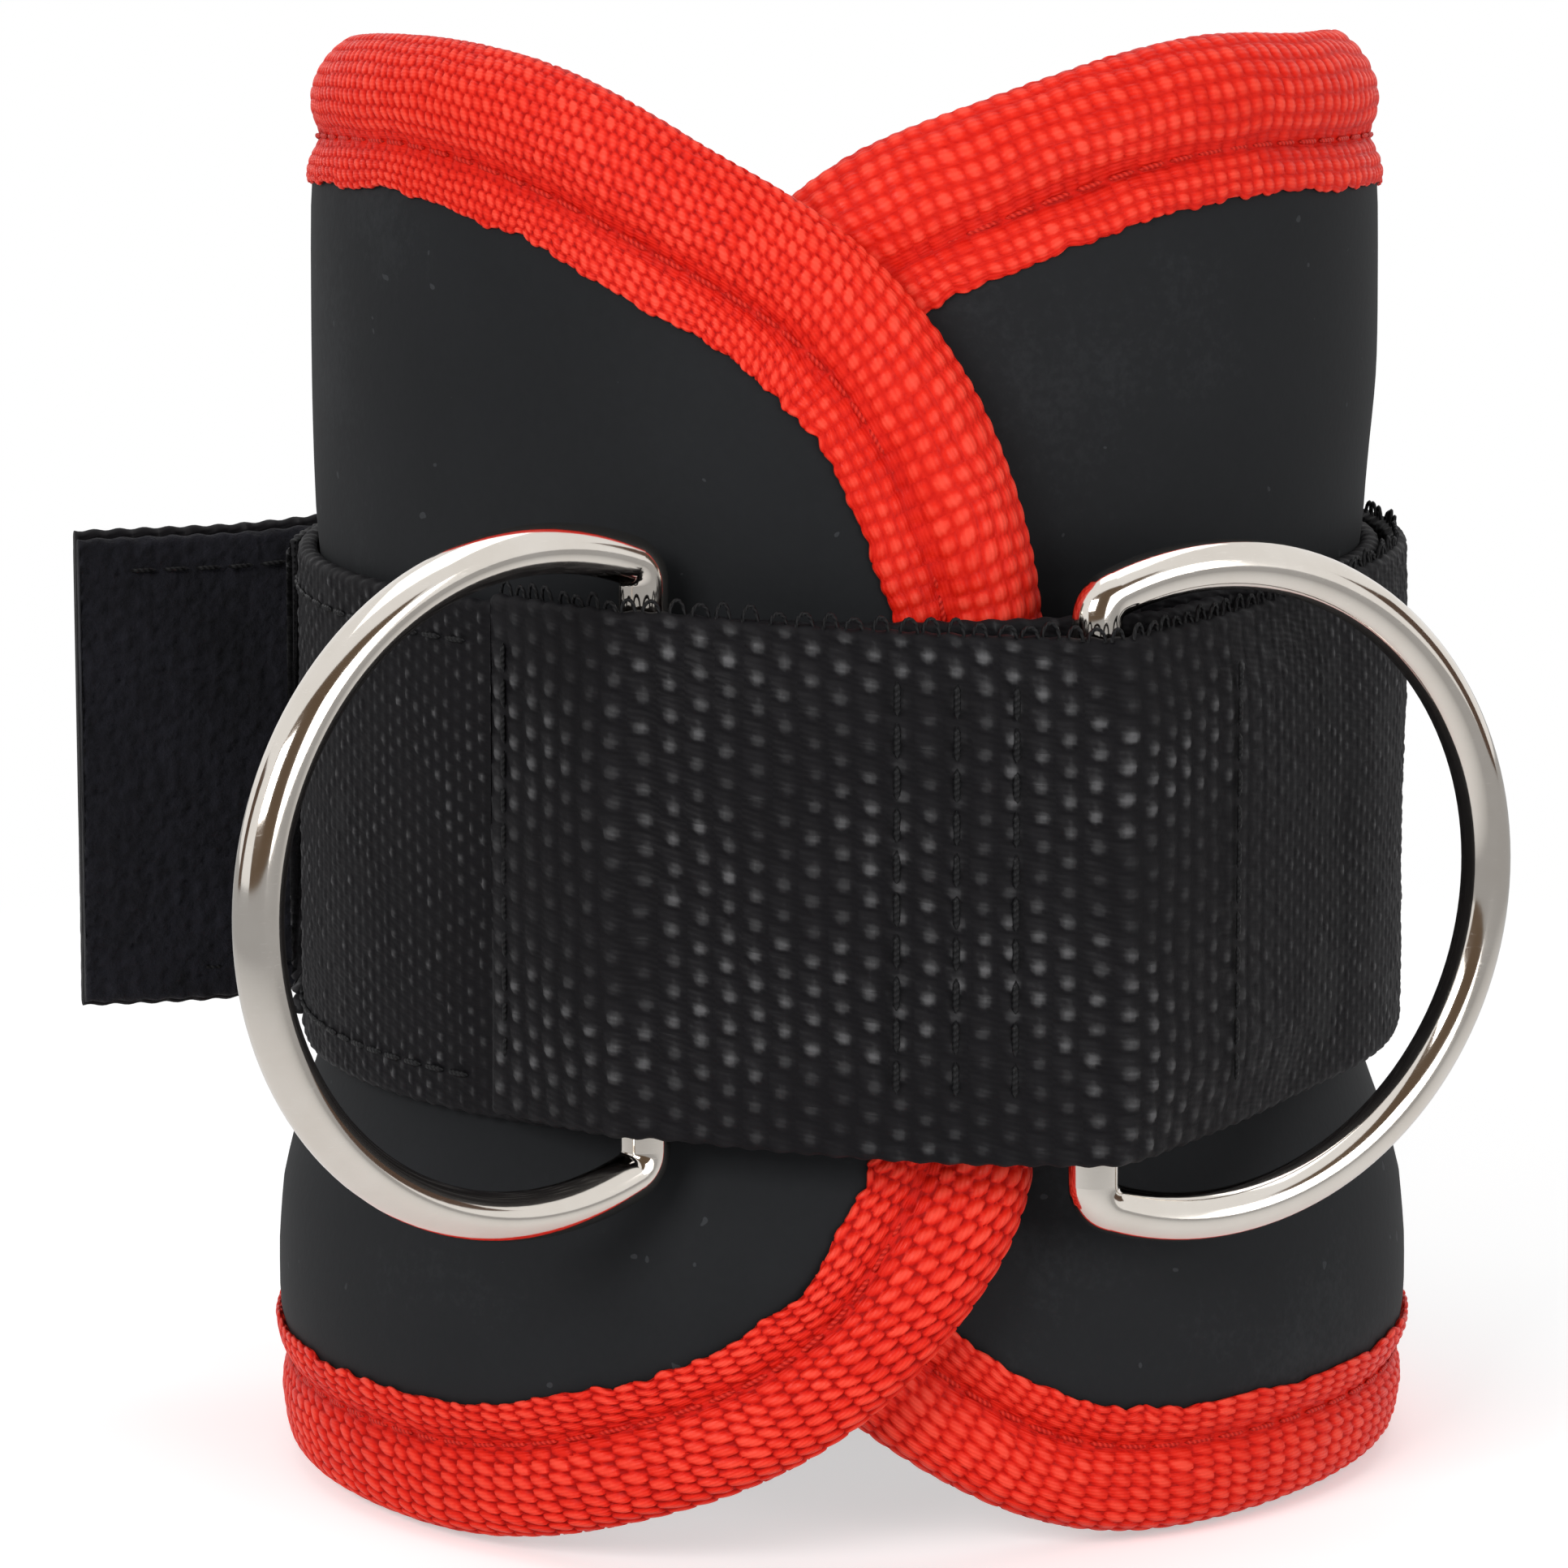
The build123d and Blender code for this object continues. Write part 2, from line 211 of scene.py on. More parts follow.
def ring_cap(first, columns, flip):
    """Quads that close one end ring of a tube-like grid, each from one side of it to the other."""
    quads = []
    for k in range(columns // 2 - 1):
        corners = [first + k, first + k + 1, first + columns - 2 - k, first + columns - 1 - k]
        if len(set(corners)) == 4:
            quads.append(corners[::-1] if flip else corners)
    return quads


# ---- The pad as a sheet ----
# s runs round the pad, 0 at the heel and negative to the left; z is the height, and w the
# distance out from the outer face. wrap() rolls the sheet up.
WALL_Z = np.array([-5.0, 6.0, 12.0, 18.0, 23.0, 27.0, 32.0, 40.0, 51.0, 62.0, 72.0, 84.0, 120.0])
WALL_LEFT = np.array([3.2, 3.3, 3.3, 3.2, 2.6, 1.1, -0.4, -0.6, -0.5, -0.35, -0.15, 0.05, 0.1])
WALL_RIGHT = np.array([3.6, 3.9, 4.0, 3.8, 3.1, 1.3, -0.3, -0.6, -0.5, -0.35, 0.1, 0.7, 0.9])


def wall_out(s, z):
    """How far the soft wall stands out from a straight tube."""
    def soft(levels):
        flat = np.interp(z, WALL_Z, levels)
        for step in (1.2, 2.4):
            flat = (flat + np.interp(z - step, WALL_Z, levels) + np.interp(z + step, WALL_Z, levels)) / 3
        return flat
    share = smooth(-15, 15, s)
    flat = soft(WALL_LEFT) * (1 - share) + soft(WALL_RIGHT) * share
    free = smooth(74, 84, z) + smooth(28, 20, z) * 0.6
    return flat + 0.14 * free * waves(s, z * 0.6, 46, 5)


def wrap(s, z, w, reference=None):
    """Points of the rolled-up sheet. Each stays on the arc that its reference distance lies on."""
    reference = s if reference is None else np.where(np.abs(reference) < 15, s, reference)
    left = (reference < 0) & np.ones_like(s, bool)
    radius = np.where(left, LEFT_R, RIGHT_R)
    angle = pi / 2 - s / radius
    centre = np.where(left, -SHIFT, SHIFT)
    reach = radius + w + wall_out(s, z)
    return np.stack([reach * np.cos(angle), centre + reach * np.sin(angle), z + 0 * s], axis=-1)


# The outline's points: the lobes by distance across the front and height, the rims by distance
# round the sheet and height.
LEFT_UP = [
    (14.0, 54), (14.1, 62), (13.5, 70.5), (12.2, 76), (10, 82), (7, 88), (4, 92.1), (0, 96.2), (-5, 99.6),
    (-11, 102.6), (-18, 106.2), (-24, 108.5), (-30, 109.6)]
TOP_RIM = [
    (-88, 109.7), (-65.2, 108.2), (-53, 105.3), (-42, 101.8), (-29, 96), (-15, 91.3), (0, 90), (13, 91.3),
    (26, 96), (37, 101.5), (48, 105.5), (59.5, 108.4), (82, 109.7), (89, 109.9), (97.7, 109.3), (105.6, 107.7),
    (112.8, 105.2), (119.7, 102.4)]
RIGHT_DOWN = [
    (-6, 99.1), (-11, 94.5), (-15, 88), (-17.6, 80), (-19.2, 68), (-19.5, 54), (-19.2, 42), (-17.6, 33),
    (-15, 26), (-11, 19.5), (-6, 14.5), (-1, 9.8), (3, 6.7), (6.6, 4.2), (10.2, 2.4), (13.8, 1.1), (17.5, 0.4),
    (21.2, 0.1), (28, 0)]
LOW_RIM = [(s, 0) for s in (70, 50, 25, 0, -25, -50, -80)]
LEFT_BACK_UP = [
    (-31, 0.1), (-26, 0.6), (-20, 2), (-14.7, 3.9), (-9, 6.1), (-4.1, 8.7), (-0.6, 11), (2.9, 14.3), (6, 17.8),
    (8.3, 21.3), (10.7, 25), (12.3, 28.5), (13.6, 35)]


def on_sheet(points, radius, side):
    """Distances round the sheet for points given across the front."""
    return [(side * radius * (pi + asin(-side * x / radius)), z) for x, z in points]


def outline(count):
    """The sheet's closed outline, clockwise from the tip of the left end, evenly spaced."""
    points = on_sheet(LEFT_UP, LEFT_R, -1) + TOP_RIM + on_sheet(RIGHT_DOWN, RIGHT_R, 1) + LOW_RIM \
        + on_sheet(LEFT_BACK_UP, LEFT_R, -1)
    line = curve(points[-1:] + points + points[:2], 30)
    line = resample(np.vstack([line, line[:1]]), 1201)[:-1]
    kernel = np.hanning(27)
    kernel /= kernel.sum()
    soft = np.stack([blurred(values, kernel) for values in line.T], 1)
    return resample(np.vstack([soft, soft[:1]]), count + 1)[:-1]


def inward(line, spread=3):
    """Unit normals that point into the sheet from its clockwise outline."""
    run = np.roll(line, -spread, axis=0) - np.roll(line, spread, axis=0)
    run /= np.linalg.norm(run, axis=1)[:, None]
    return np.stack([run[:, 1], -run[:, 0]], axis=1)


def tape_share(s, z):
    """Share of its full width that the tape shows: less along the bottom rim."""
    low = smooth(27, 12, z)
    least = 0.88 - 0.05 * smooth(-50, 50, s)
    high = 0.08 * smooth(60, 85, z) * smooth(108, 88, np.abs(s)) * (1 - 0.6 * smooth(-20, 20, s))
    return 1 - (1 - least) * low - high


# ---- Materials ----
def new_material(name):
    """A material, with short ways to write its nodes and its main shader."""
    m = bpy.data.materials.new(name)
    m.use_nodes = True
    return m, Nodes(m.node_tree), m.node_tree.nodes["Principled BSDF"]


class Nodes:
    """Short ways to write node trees."""

    def __init__(self, nt):
        self.nt = nt

    def feed(self, node, values):
        """Links or sets a node's inputs."""
        for key, value in values.items():
            if isinstance(value, bpy.types.NodeSocket):
                self.nt.links.new(value, node.inputs[key])
            else:
                node.inputs[key].default_value = value

    def put(self, kind, values=None, **settings):
        n = self.nt.nodes.new(kind)
        for key, value in settings.items():
            setattr(n, key, value)
        self.feed(n, values or {})
        return n

    def math(self, operation, a, b=0.0, c=0.0, clamp=False):
        return self.put("ShaderNodeMath", {0: a, 1: b, 2: c}, operation=operation, use_clamp=clamp).outputs[0]

    def times_add(self, value, factor, base, clamp=False):
        return self.math("MULTIPLY_ADD", value, factor, base, clamp)

    def sway(self, value, factor, base, clamp=False):
        """The base, moved up and down by a value that lies round a half."""
        return self.times_add(self.math("SUBTRACT", value, 0.5), factor, base, clamp)

    def ramp(self, value, stops):
        n = self.put("ShaderNodeValToRGB", {0: value})
        ramp = n.color_ramp
        while len(ramp.elements) < len(stops):
            ramp.elements.new(0.5)
        for element, (at, colour) in zip(ramp.elements, stops):
            element.position = at
            element.color = (*colour, 1)
        return n.outputs[0]

    def noise(self, scale, detail, rough, vector):
        values = {"Scale": scale, "Detail": detail, "Roughness": rough, "Vector": vector}
        return self.put("ShaderNodeTexNoise", values).outputs[0]

    def object_coords(self):
        return self.put("ShaderNodeTexCoord").outputs["Object"]

    def split(self, vector):
        """The first two parts of a vector."""
        return self.put("ShaderNodeSeparateXYZ", {0: vector}).outputs[:2]

    def weave_uv(self):
        return self.split(self.put("ShaderNodeUVMap", uv_map="weave").outputs[0])

    def bump(self, height, distance_mm, strength):
        values = {"Height": height, "Distance": distance_mm * MM, "Strength": strength}
        return self.put("ShaderNodeBump", values).outputs[0]


def yarn_material(name, stops, roughness, sheen, sheen_tint, specular, filament, slant=0.0):
    """Woven yarn. The relief of the mesh sets the colour: painted shade in the hollows, painted highlight on
    the bead tops; fine filaments run on each bead.
    """
    m, n, bsdf = new_material(name)
    relief = n.put("ShaderNodeAttribute", attribute_name="relief").outputs["Fac"]
    x, y = n.weave_uv()
    cell = n.put("ShaderNodeCombineXYZ", {0: n.math("FLOOR", x), 1: n.math("FLOOR", y)})
    chance = n.put("ShaderNodeTexWhiteNoise", {0: cell.outputs[0]}, noise_dimensions="2D").outputs[0]
    patch = n.noise(90.0, 3.0, 0.6, n.object_coords())
    grain = n.noise(2600.0, 2.0, 0.6, n.object_coords())
    strands = n.times_add(y, filament, n.math("MULTIPLY", x, filament * slant))
    strand = n.math("SINE", n.times_add(chance, 5.0, strands))
    # Colour from the relief: painted shade in the hollows and a painted highlight on the tops, with random
    # tone by cell, patch and grain.
    tone = n.sway(chance, 0.16, relief)
    tone = n.sway(patch, 0.26, tone)
    tone = n.times_add(strand, 0.035, tone)
    tone = n.sway(grain, 0.2, tone, clamp=True)
    rough = n.sway(chance, 0.14, roughness)
    rough = n.times_add(n.math("SUBTRACT", 1.0, relief), 0.25, rough, clamp=True)
    fine = n.times_add(strand, 0.3, n.math("MULTIPLY", grain, 0.7))
    n.feed(bsdf, {
        "Base Color": n.ramp(tone, stops), "Roughness": rough, "Normal": n.bump(fine, 0.05, 0.8),
        "Sheen Weight": sheen, "Sheen Roughness": 0.45, "Sheen Tint": (*sheen_tint, 1),
        "Specular IOR Level": specular})
    return m


def neoprene_material():
    """Smooth synthetic rubber face: nearly matt, with a fine skin and a little lint."""
    m, n, bsdf = new_material("neoprene_face")
    at = n.object_coords()
    cloud = n.noise(38.0, 4.0, 0.6, at)
    skin = n.noise(1500.0, 3.0, 0.65, at)
    lint = n.noise(620.0, 1.0, 0.4, at)
    specks = n.math("MULTIPLY", n.math("GREATER_THAN", lint, 0.775), 0.55)
    tone = n.math("ADD", n.sway(skin, 0.35, cloud), specks, clamp=True)
    stops = [(0.2, (0.0122, 0.0130, 0.0142)), (0.6, (0.0158, 0.0168, 0.0184)), (1.0, (0.036, 0.038, 0.041))]
    height = n.times_add(skin, 0.6, n.math("MULTIPLY", n.noise(420.0, 2.0, 0.5, at), 0.5))
    n.feed(bsdf, {
        "Base Color": n.ramp(tone, stops), "Roughness": n.times_add(cloud, 0.16, 0.58),
        "Normal": n.bump(height, 0.06, 0.5), "Sheen Weight": 0.02, "Sheen Roughness": 0.5,
        "Specular IOR Level": 0.08})
    return m


def brushed_material(name, dark, light, scale, depth_mm, sheen=0.2):
    """Fuzzy pile or brushed knit."""
    m, n, bsdf = new_material(name)
    at = n.object_coords()
    tufts = n.noise(scale, 4.0, 0.7, at)
    cloud = n.noise(scale / 9, 3.0, 0.6, at)
    tone = n.times_add(cloud, 0.5, n.math("MULTIPLY", tufts, 0.6), clamp=True)
    n.feed(bsdf, {
        "Base Color": n.ramp(tone, [(0.35, dark), (0.75, light)]), "Roughness": n.times_add(tufts, 0.1, 0.85),
        "Normal": n.bump(tufts, depth_mm, 1.0), "Sheen Weight": sheen, "Sheen Roughness": 0.6,
        "Specular IOR Level": 0.15})
    return m


def thread_material(name, dark, light):
    """Twisted sewing thread."""
    m, n, bsdf = new_material(name)
    along, around = n.weave_uv()
    turn = n.times_add(along, 14.0, n.math("MULTIPLY", around, 12.566))
    twist = n.times_add(n.math("SINE", turn), 0.5, 0.5)
    grain = n.noise(1800.0, 2.0, 0.5, n.object_coords())
    # Colour follows the twist: darker in the grooves between the plies, a painted shade.
    tone = n.times_add(grain, 0.4, n.math("MULTIPLY", twist, 0.6), clamp=True)
    n.feed(bsdf, {
        "Base Color": n.ramp(tone, [(0.15, dark), (0.85, light)]), "Roughness": n.times_add(grain, 0.2, 0.4),
        "Normal": n.bump(twist, 0.05, 0.8), "Specular IOR Level": 0.15})
    return m


def nickel_material():
    """Polished nickel plating with faint waviness, haze and small scratches."""
    m, n, bsdf = new_material("plated_steel")
    at = n.object_coords()
    haze = n.noise(160.0, 4.0, 0.6, at)
    stretch = n.put("ShaderNodeMapping", {"Vector": at, "Scale": (900.0, 900.0, 6000.0)}).outputs[0]
    scratch = n.noise(1.0, 2.0, 0.7, stretch)
    fine = n.math("GREATER_THAN", scratch, 0.66)
    tone = n.times_add(fine, 0.12, n.math("MULTIPLY", haze, 0.8))
    rough = n.times_add(fine, 0.05, n.times_add(haze, 0.09, 0.05))
    wavy = n.times_add(scratch, 0.02, n.noise(120.0, 1.0, 0.4, at))
    stops = [(0.2, (0.66, 0.61, 0.55)), (0.8, (0.76, 0.72, 0.67))]
    n.feed(bsdf, {
        "Base Color": n.ramp(tone, stops), "Roughness": rough, "Normal": n.bump(wavy, 0.05, 0.35),
        "Metallic": 1.0})
    return m


# The tape's ramp runs from painted shade in the grooves to a painted highlight on the bead tops.
RED = yarn_material(
    "binding_tape",
    [(0.0, (0.38, 0.003, 0.001)), (0.35, (0.60, 0.008, 0.003)), (0.7, (0.76, 0.020, 0.008)),
     (1.0, (0.93, 0.070, 0.040))],
    0.36, 0.03, (1.0, 0.2, 0.12), 0.11, 24.0)
# The webbing's ramp runs from painted shade between the beads to painted glints on the beads, dashes and hook
# posts.
BLACK = yarn_material(
    "webbing",
    [(0.0, (0.0042, 0.0038, 0.0048)), (0.35, (0.0085, 0.0080, 0.0092)), (0.7, (0.034, 0.0335, 0.035)),
     (1.0, (0.095, 0.094, 0.097))],
    0.42, 0.015, (0.8, 0.8, 0.85), 0.12, 30.0, slant=0.2)
NEOPRENE = neoprene_material()
LINING = brushed_material("lining", (0.008, 0.008, 0.009), (0.028, 0.028, 0.031), 700.0, 0.2)
PILE = brushed_material("pile", (0.0035, 0.0034, 0.0050), (0.013, 0.0130, 0.0185), 900.0, 0.4, 0.05)
RED_THREAD = thread_material("red_thread", (0.40, 0.004, 0.002), (0.72, 0.03, 0.015))
BLACK_THREAD = thread_material("black_thread", (0.0035, 0.0035, 0.004), (0.013, 0.013, 0.014))
NICKEL = nickel_material()


# ---- Pad: cover, foam and lining ----
COVER_INSET = 7.0
EDGE_DIP = 1.2


def from_to(start, stop, count):
    """Indices of a loop of points from one of them on to another."""
    return np.arange(start, stop + 1 if stop > start else stop + 1 + count) % count


def sheet_grid(step, rows):
    """A grid over the sheet as far as the tape's seam, with denser columns at both tips."""
    line = outline(2400)
    inner = line + inward(line) * COVER_INSET * tape_share(line[:, :1], line[:, 1:])
    tips = [inner[:, 0].argmin(), inner[:, 0].argmax()]
    low, high = inner[tips, 0]
    t = np.linspace(0, 1, int((high - low) / step))
    columns = low + (high - low) * (t - 0.315 * np.sin(2 * pi * t) / (2 * pi))

    def height(start, stop):
        p = inner[from_to(start, stop, len(inner))]
        order = np.argsort(p[:, 0])
        return np.interp(columns, p[order, 0], p[order, 1])[:, None]

    bottom, top = height(*tips[::-1]), height(*tips)
    return np.repeat(columns[:, None], rows, 1), bottom + (top - bottom) * np.linspace(0, 1, rows)


def edge_distance(s, z):
    """Distance of each point from the outline, in shares of the shown tape."""
    line = outline(900)
    tree = KDTree(len(line))
    for index, (a, b) in enumerate(line):
        tree.insert((a, b, 0), index)
    tree.balance()
    far = np.array([tree.find((a, b, 0))[2] for a, b in zip(s.ravel(), z.ravel())])
    return far.reshape(s.shape) / tape_share(s, z)


# The cloth is simulated at a larger scale, which suits the solver.
SIM_SCALE, SIM_FRAMES, PRESSURE = 20.0, 20, 3.2
HELD_AT_EDGE, HELD_AT_STRAP = 12.5, 1.5
NARROW = 24.0
CLOTH = {
    "quality": 6, "mass": 0.2, "tension_stiffness": 18, "compression_stiffness": 18, "shear_stiffness": 6,
    "bending_stiffness": 1.5, "use_pressure": True, "uniform_pressure_force": PRESSURE,
    "vertex_group_mass": "held"}


def puffed(step=3.2, rows=30):
    """Swelling of the padded face between tape and strap, from a cloth simulation on a coarse grid.

    The sheet is held at the tape and under the webbing, and pressure fills it from inside. The narrow
    tips are left out: they are held all over, and faces without area would stop the solver."""
    s, z = sheet_grid(step, rows)
    swell = np.zeros_like(s)
    wide = z[:, -1] - z[:, 0] > NARROW
    s, z = s[wide], z[wide]
    rest = wrap(s, z, 0 * s)
    sheet = mesh_from("cloth_sheet", rest * SIM_SCALE, grid_faces(*s.shape)[:, ::-1])
    held = edge_distance(s, z) < HELD_AT_EDGE
    held |= (z > WEB_LOW - HELD_AT_STRAP) & (z < WEB_HIGH + HELD_AT_STRAP)
    group = sheet.vertex_groups.new(name="held")
    group.add([int(i) for i in np.flatnonzero(held.ravel())], 1.0, "REPLACE")
    cloth = sheet.modifiers.new("cloth", "CLOTH")
    for name, value in CLOTH.items():
        setattr(cloth.settings, name, value)
    cloth.settings.effector_weights.gravity = 0
    cloth.collision_settings.use_collision = False
    cloth.point_cache.frame_start, cloth.point_cache.frame_end = 1, SIM_FRAMES
    scene = bpy.context.scene
    for frame_number in range(1, SIM_FRAMES + 1):
        scene.frame_set(frame_number)
    done = sheet.evaluated_get(bpy.context.evaluated_depsgraph_get()).to_mesh()
    moved = np.zeros(rest.size, np.float32)
    done.vertices.foreach_get("co", moved)
    moved = moved.reshape(rest.shape) / MM / SIM_SCALE
    bpy.data.objects.remove(sheet)
    scene.frame_set(1)
    out = wrap(s, z, 0 * s + 1.0) - rest
    out /= np.linalg.norm(out, axis=2, keepdims=True)
    swell[wide] = np.clip(((moved - rest) * out).sum(axis=2), -0.3, 0.8)
    return swell


def stretch_grid(values, shape):
    """A coarse grid's values on a finer grid over the same sheet."""
    for count in shape:
        at = np.linspace(0, len(values) - 1, count)
        values = along(at, np.arange(len(values)), values).T
    return values


def pad_shell(name, outer_w, inner_w, material, swell, step=1.5, rows=60):
    """A closed layer of the pad between two depths, pressed in under the tape on both faces."""
    s, z = sheet_grid(step, rows)
    dip = EDGE_DIP * smooth(11.4, 9.3, edge_distance(s, z))
    puff = stretch_grid(swell, s.shape) if swell is not None else 0
    outer = wrap(s, z, outer_w - dip * (outer_w > -1) + puff)
    inner = wrap(s, z, inner_w + dip * (inner_w < -PAD + 1) + 0 * s)
    count = s.size
    quads = np.vstack([grid_faces(*s.shape)[:, ::-1], grid_faces(*s.shape, first=count)])
    grid = np.arange(count).reshape(s.shape)
    rim = np.concatenate([grid[:, 0], grid[-1, 1:], grid[-2::-1, -1], grid[0, -2:0:-1]])
    after = np.roll(rim, -1)
    walls = np.stack([rim, after, after + count, rim + count], 1)
    uv = np.stack([s, z], -1)
    return mesh_from(name, np.stack([outer, inner]), np.vstack([quads, walls]), np.stack([uv, uv]), material)


pad_cover = pad_shell("pad_cover", 0.0, -2.8, NEOPRENE, puffed())
pad_lining = pad_shell("pad_lining", -2.85, -PAD, LINING, None)


# ---- Binding tape ----
# The tape's section, by distance in from the pad's edge and distance out from its face.
OUTER_SECTION = [
    (11.75, 0.02), (11.98, 0.22), (11.8, 0.44), (11.0, 0.44), (10.0, 0.26), (9.1, -0.10), (8.3, -0.38),
    (7.4, -0.20), (6.5, 0.08), (5.6, 0.17), (4.4, 0.06), (3.0, -0.42), (1.7, -1.25), (0.75, -2.2),
    (0.25, -3.0), (0.15, -3.4)]
INNER_SECTION = [
    (0.15, -3.4), (0.45, -4.3), (1.3, -5.15), (3.0, -5.75), (4.8, -5.92), (6.5, -5.8), (8.2, -5.42),
    (9.6, -5.7), (11.0, -5.98), (11.9, -5.9), (11.8, -5.62)]
HIDDEN_SECTION = [
    (11.3, -5.5), (8.0, -5.1), (4.5, -4.9), (2.6, -4.3), (1.9, -3.3), (2.4, -2.3), (4.5, -1.3), (8.0, -0.95),
    (11.3, -0.35)]
VALLEY = 8.3  # the stitched groove, in from the edge
STITCH = 3.1


def weave_plan(line):
    """Along the outline: how far the weave runs on as ropes, its cells' sizes, and its relief."""
    s, z = line[:, 0], line[:, 1]
    low = smooth(50, 22, z)
    top_left = smooth(90, 101, z) * smooth(-5, -40, s)
    cross = smooth(98, 80, z) * smooth(52, 62, z) * (np.abs(s) > 100)
    rope = np.clip(0.95 * low * smooth(60, -10, s) + 0.6 * low * smooth(-10, 60, s) + 0.62 * top_left
                   + 0.12 * (1 - low), 0, 1)
    cell_t = 1.42 + 0.4 * low + 0.25 * cross - 0.38 * top_left
    cell_v = 1.5 - 0.3 * low - 0.38 * top_left
    relief_mm = 0.34 - 0.12 * top_left - 0.04 * low
    return [blurred(values, np.ones(41) / 41)[:, None] for values in (rope, cell_t, cell_v, relief_mm)]


def loop_length(line):
    return np.linalg.norm(np.diff(np.vstack([line, line[:1]]), axis=0), axis=1).sum()


def make_binding(count=3000):
    """The tape round the whole edge, with its weave, valley, needle dimples and cut edges."""
    line = outline(count)
    normals = inward(line, 8)
    for _ in range(3):
        normals = (np.roll(normals, 2, 0) + normals + np.roll(normals, -2, 0)) / 3
    normals /= np.linalg.norm(normals, axis=1)[:, None]
    total = loop_length(line)
    t = np.arange(count)[:, None] * total / count
    shown = np.vstack([spline(OUTER_SECTION, 82), spline(INNER_SECTION, 32)[1:]])
    section = np.vstack([shown, spline(HIDDEN_SECTION, 10)])
    n = len(shown)
    run = length_along(shown)
    v = run - run[np.argmin(shown[:, 0])]
    pitch = 1 - 0.27 * (smooth(-7.5, -9.5, v) + smooth(7.5, 9.5, v))
    v_even = np.concatenate([[0], np.cumsum(np.diff(v) / ((pitch[1:] + pitch[:-1]) / 2))])
    v_even -= np.interp(0, v, v_even)
    rope, cell_t, cell_v, relief_mm = weave_plan(line)
    u = np.concatenate([[0], np.cumsum(total / count / cell_t)])[:-1]
    u *= round(u[-1] + u[1]) / (u[-1] + u[1])
    x = u[:, None] + 0.07 * waves(t, v, 8.0, 21)
    y = v_even / cell_v + 0.07 * waves(t, v, 8.0, 22)
    height = beads(x, y, rope)
    rim = smooth(0, 0.5, run) * smooth(run[-1], run[-1] - 0.5, run)
    in_valley = np.exp(-((shown[:, 0] - VALLEY) / 0.8) ** 2)
    raised = (height - 0.62) * relief_mm * (0.45 + 0.55 * rim) * (1 - 0.6 * in_valley)
    raised += 0.14 * waves(t, 0 * t, 30.0, 8) * smooth(0, 4, run)
    phase = ((t / STITCH) % 1 - 0.5) * STITCH
    raised -= 0.22 * np.exp(-((shown[:, 0] - VALLEY) / 0.55) ** 2 - (phase / 0.5) ** 2)
    tangent = np.gradient(shown, axis=0)
    tangent /= np.linalg.norm(tangent, axis=1)[:, None]
    out = np.stack([-tangent[:, 1], tangent[:, 0]])
    out *= np.sign(out[1, 10])
    d, w = [np.repeat(column[None], count, 0) for column in section.T]
    d[:, :n] += raised * out[0]
    w[:, :n] += raised * out[1]
    ragged = 0.11 * waves(t, 0 * t, 2.4, 9) + 0.07 * waves(t, 0 * t, 11.0, 10)
    d += ragged * smooth(9.8, 12.0, section[:, 0])
    line_s, line_z = line[:, :1], line[:, 1:]
    w += 1.1 * smooth(40, 20, line_z) * np.exp(-((d - 0.8) / 2.2) ** 2)
    d *= tape_share(line_s, line_z)
    points = wrap(line_s + normals[:, :1] * d, line_z + normals[:, 1:] * d, w, line_s)
    relief = np.full(d.shape, 0.3)
    # Colour relief: the bead heights, darker in the stitched valley, a painted shade in the groove.
    relief[:, :n] = height * (1 - 0.45 * in_valley)
    uv = np.zeros(d.shape + (2,))
    uv[:, :n] = np.stack([x, y], -1)
    uv[:, n:] = uv[:, n - 1:n]
    return points, uv, relief, line


def cut_binding():
    """Four lengths of tape, meeting at the heel and under the strap at both tips."""
    points, uv, relief, line = make_binding()
    count, across = points.shape[:2]
    s, z = line.T
    top_heel, low_heel = [np.abs(s) + other * 1e3 for other in (z <= MIDDLE, z > MIDDLE)]
    corners = [int(x.argmin()) for x in (s, top_heel, -s, low_heel)]
    made = []
    for k, place in enumerate(("top_left", "top_right", "low_right", "low_left")):
        index = from_to(corners[k], corners[(k + 1) % 4], count)
        quads = grid_faces(len(index), across, closed=True)
        made.append(mesh_from("edge_binding_" + place, points[index], quads, uv[index], RED, relief[index]))
    return made


binding = cut_binding()


# ---- Stitches ----
def capsules(name, stitches, radius, material, sag, sides=8, rings=9):
    """Short rounded stitches, each from a start, an end and a normal: flattened a little and bent by sag."""
    verts, quads, uvs = [], [], []
    for a, b, n in stitches:
        run = b - a
        length = np.linalg.norm(run)
        f = run / length
        n = n - f * np.dot(n, f)
        n /= np.linalg.norm(n)
        side = np.cross(f, n)
        first = len(verts)
        for q in range(rings):
            u = q / (rings - 1)
            r = radius * sqrt(max(0.03, 1 - (2 * u - 1) ** 6))
            centre = a + run * u + n * (sag * (1 - (2 * u - 1) ** 2))
            for c in range(sides):
                g = 2 * pi * c / sides
                verts.append(centre + side * r * cos(g) * 1.1 + n * r * sin(g) * 0.85)
                uvs.append((u * length, c / sides))
        quads.append(grid_faces(rings, sides, closed=True, first=first)[:, ::-1])
        quads.append(ring_cap(first, sides, False))
        quads.append(ring_cap(first + (rings - 1) * sides, sides, True))
    return mesh_from(name, verts, np.vstack(quads), uvs, material)


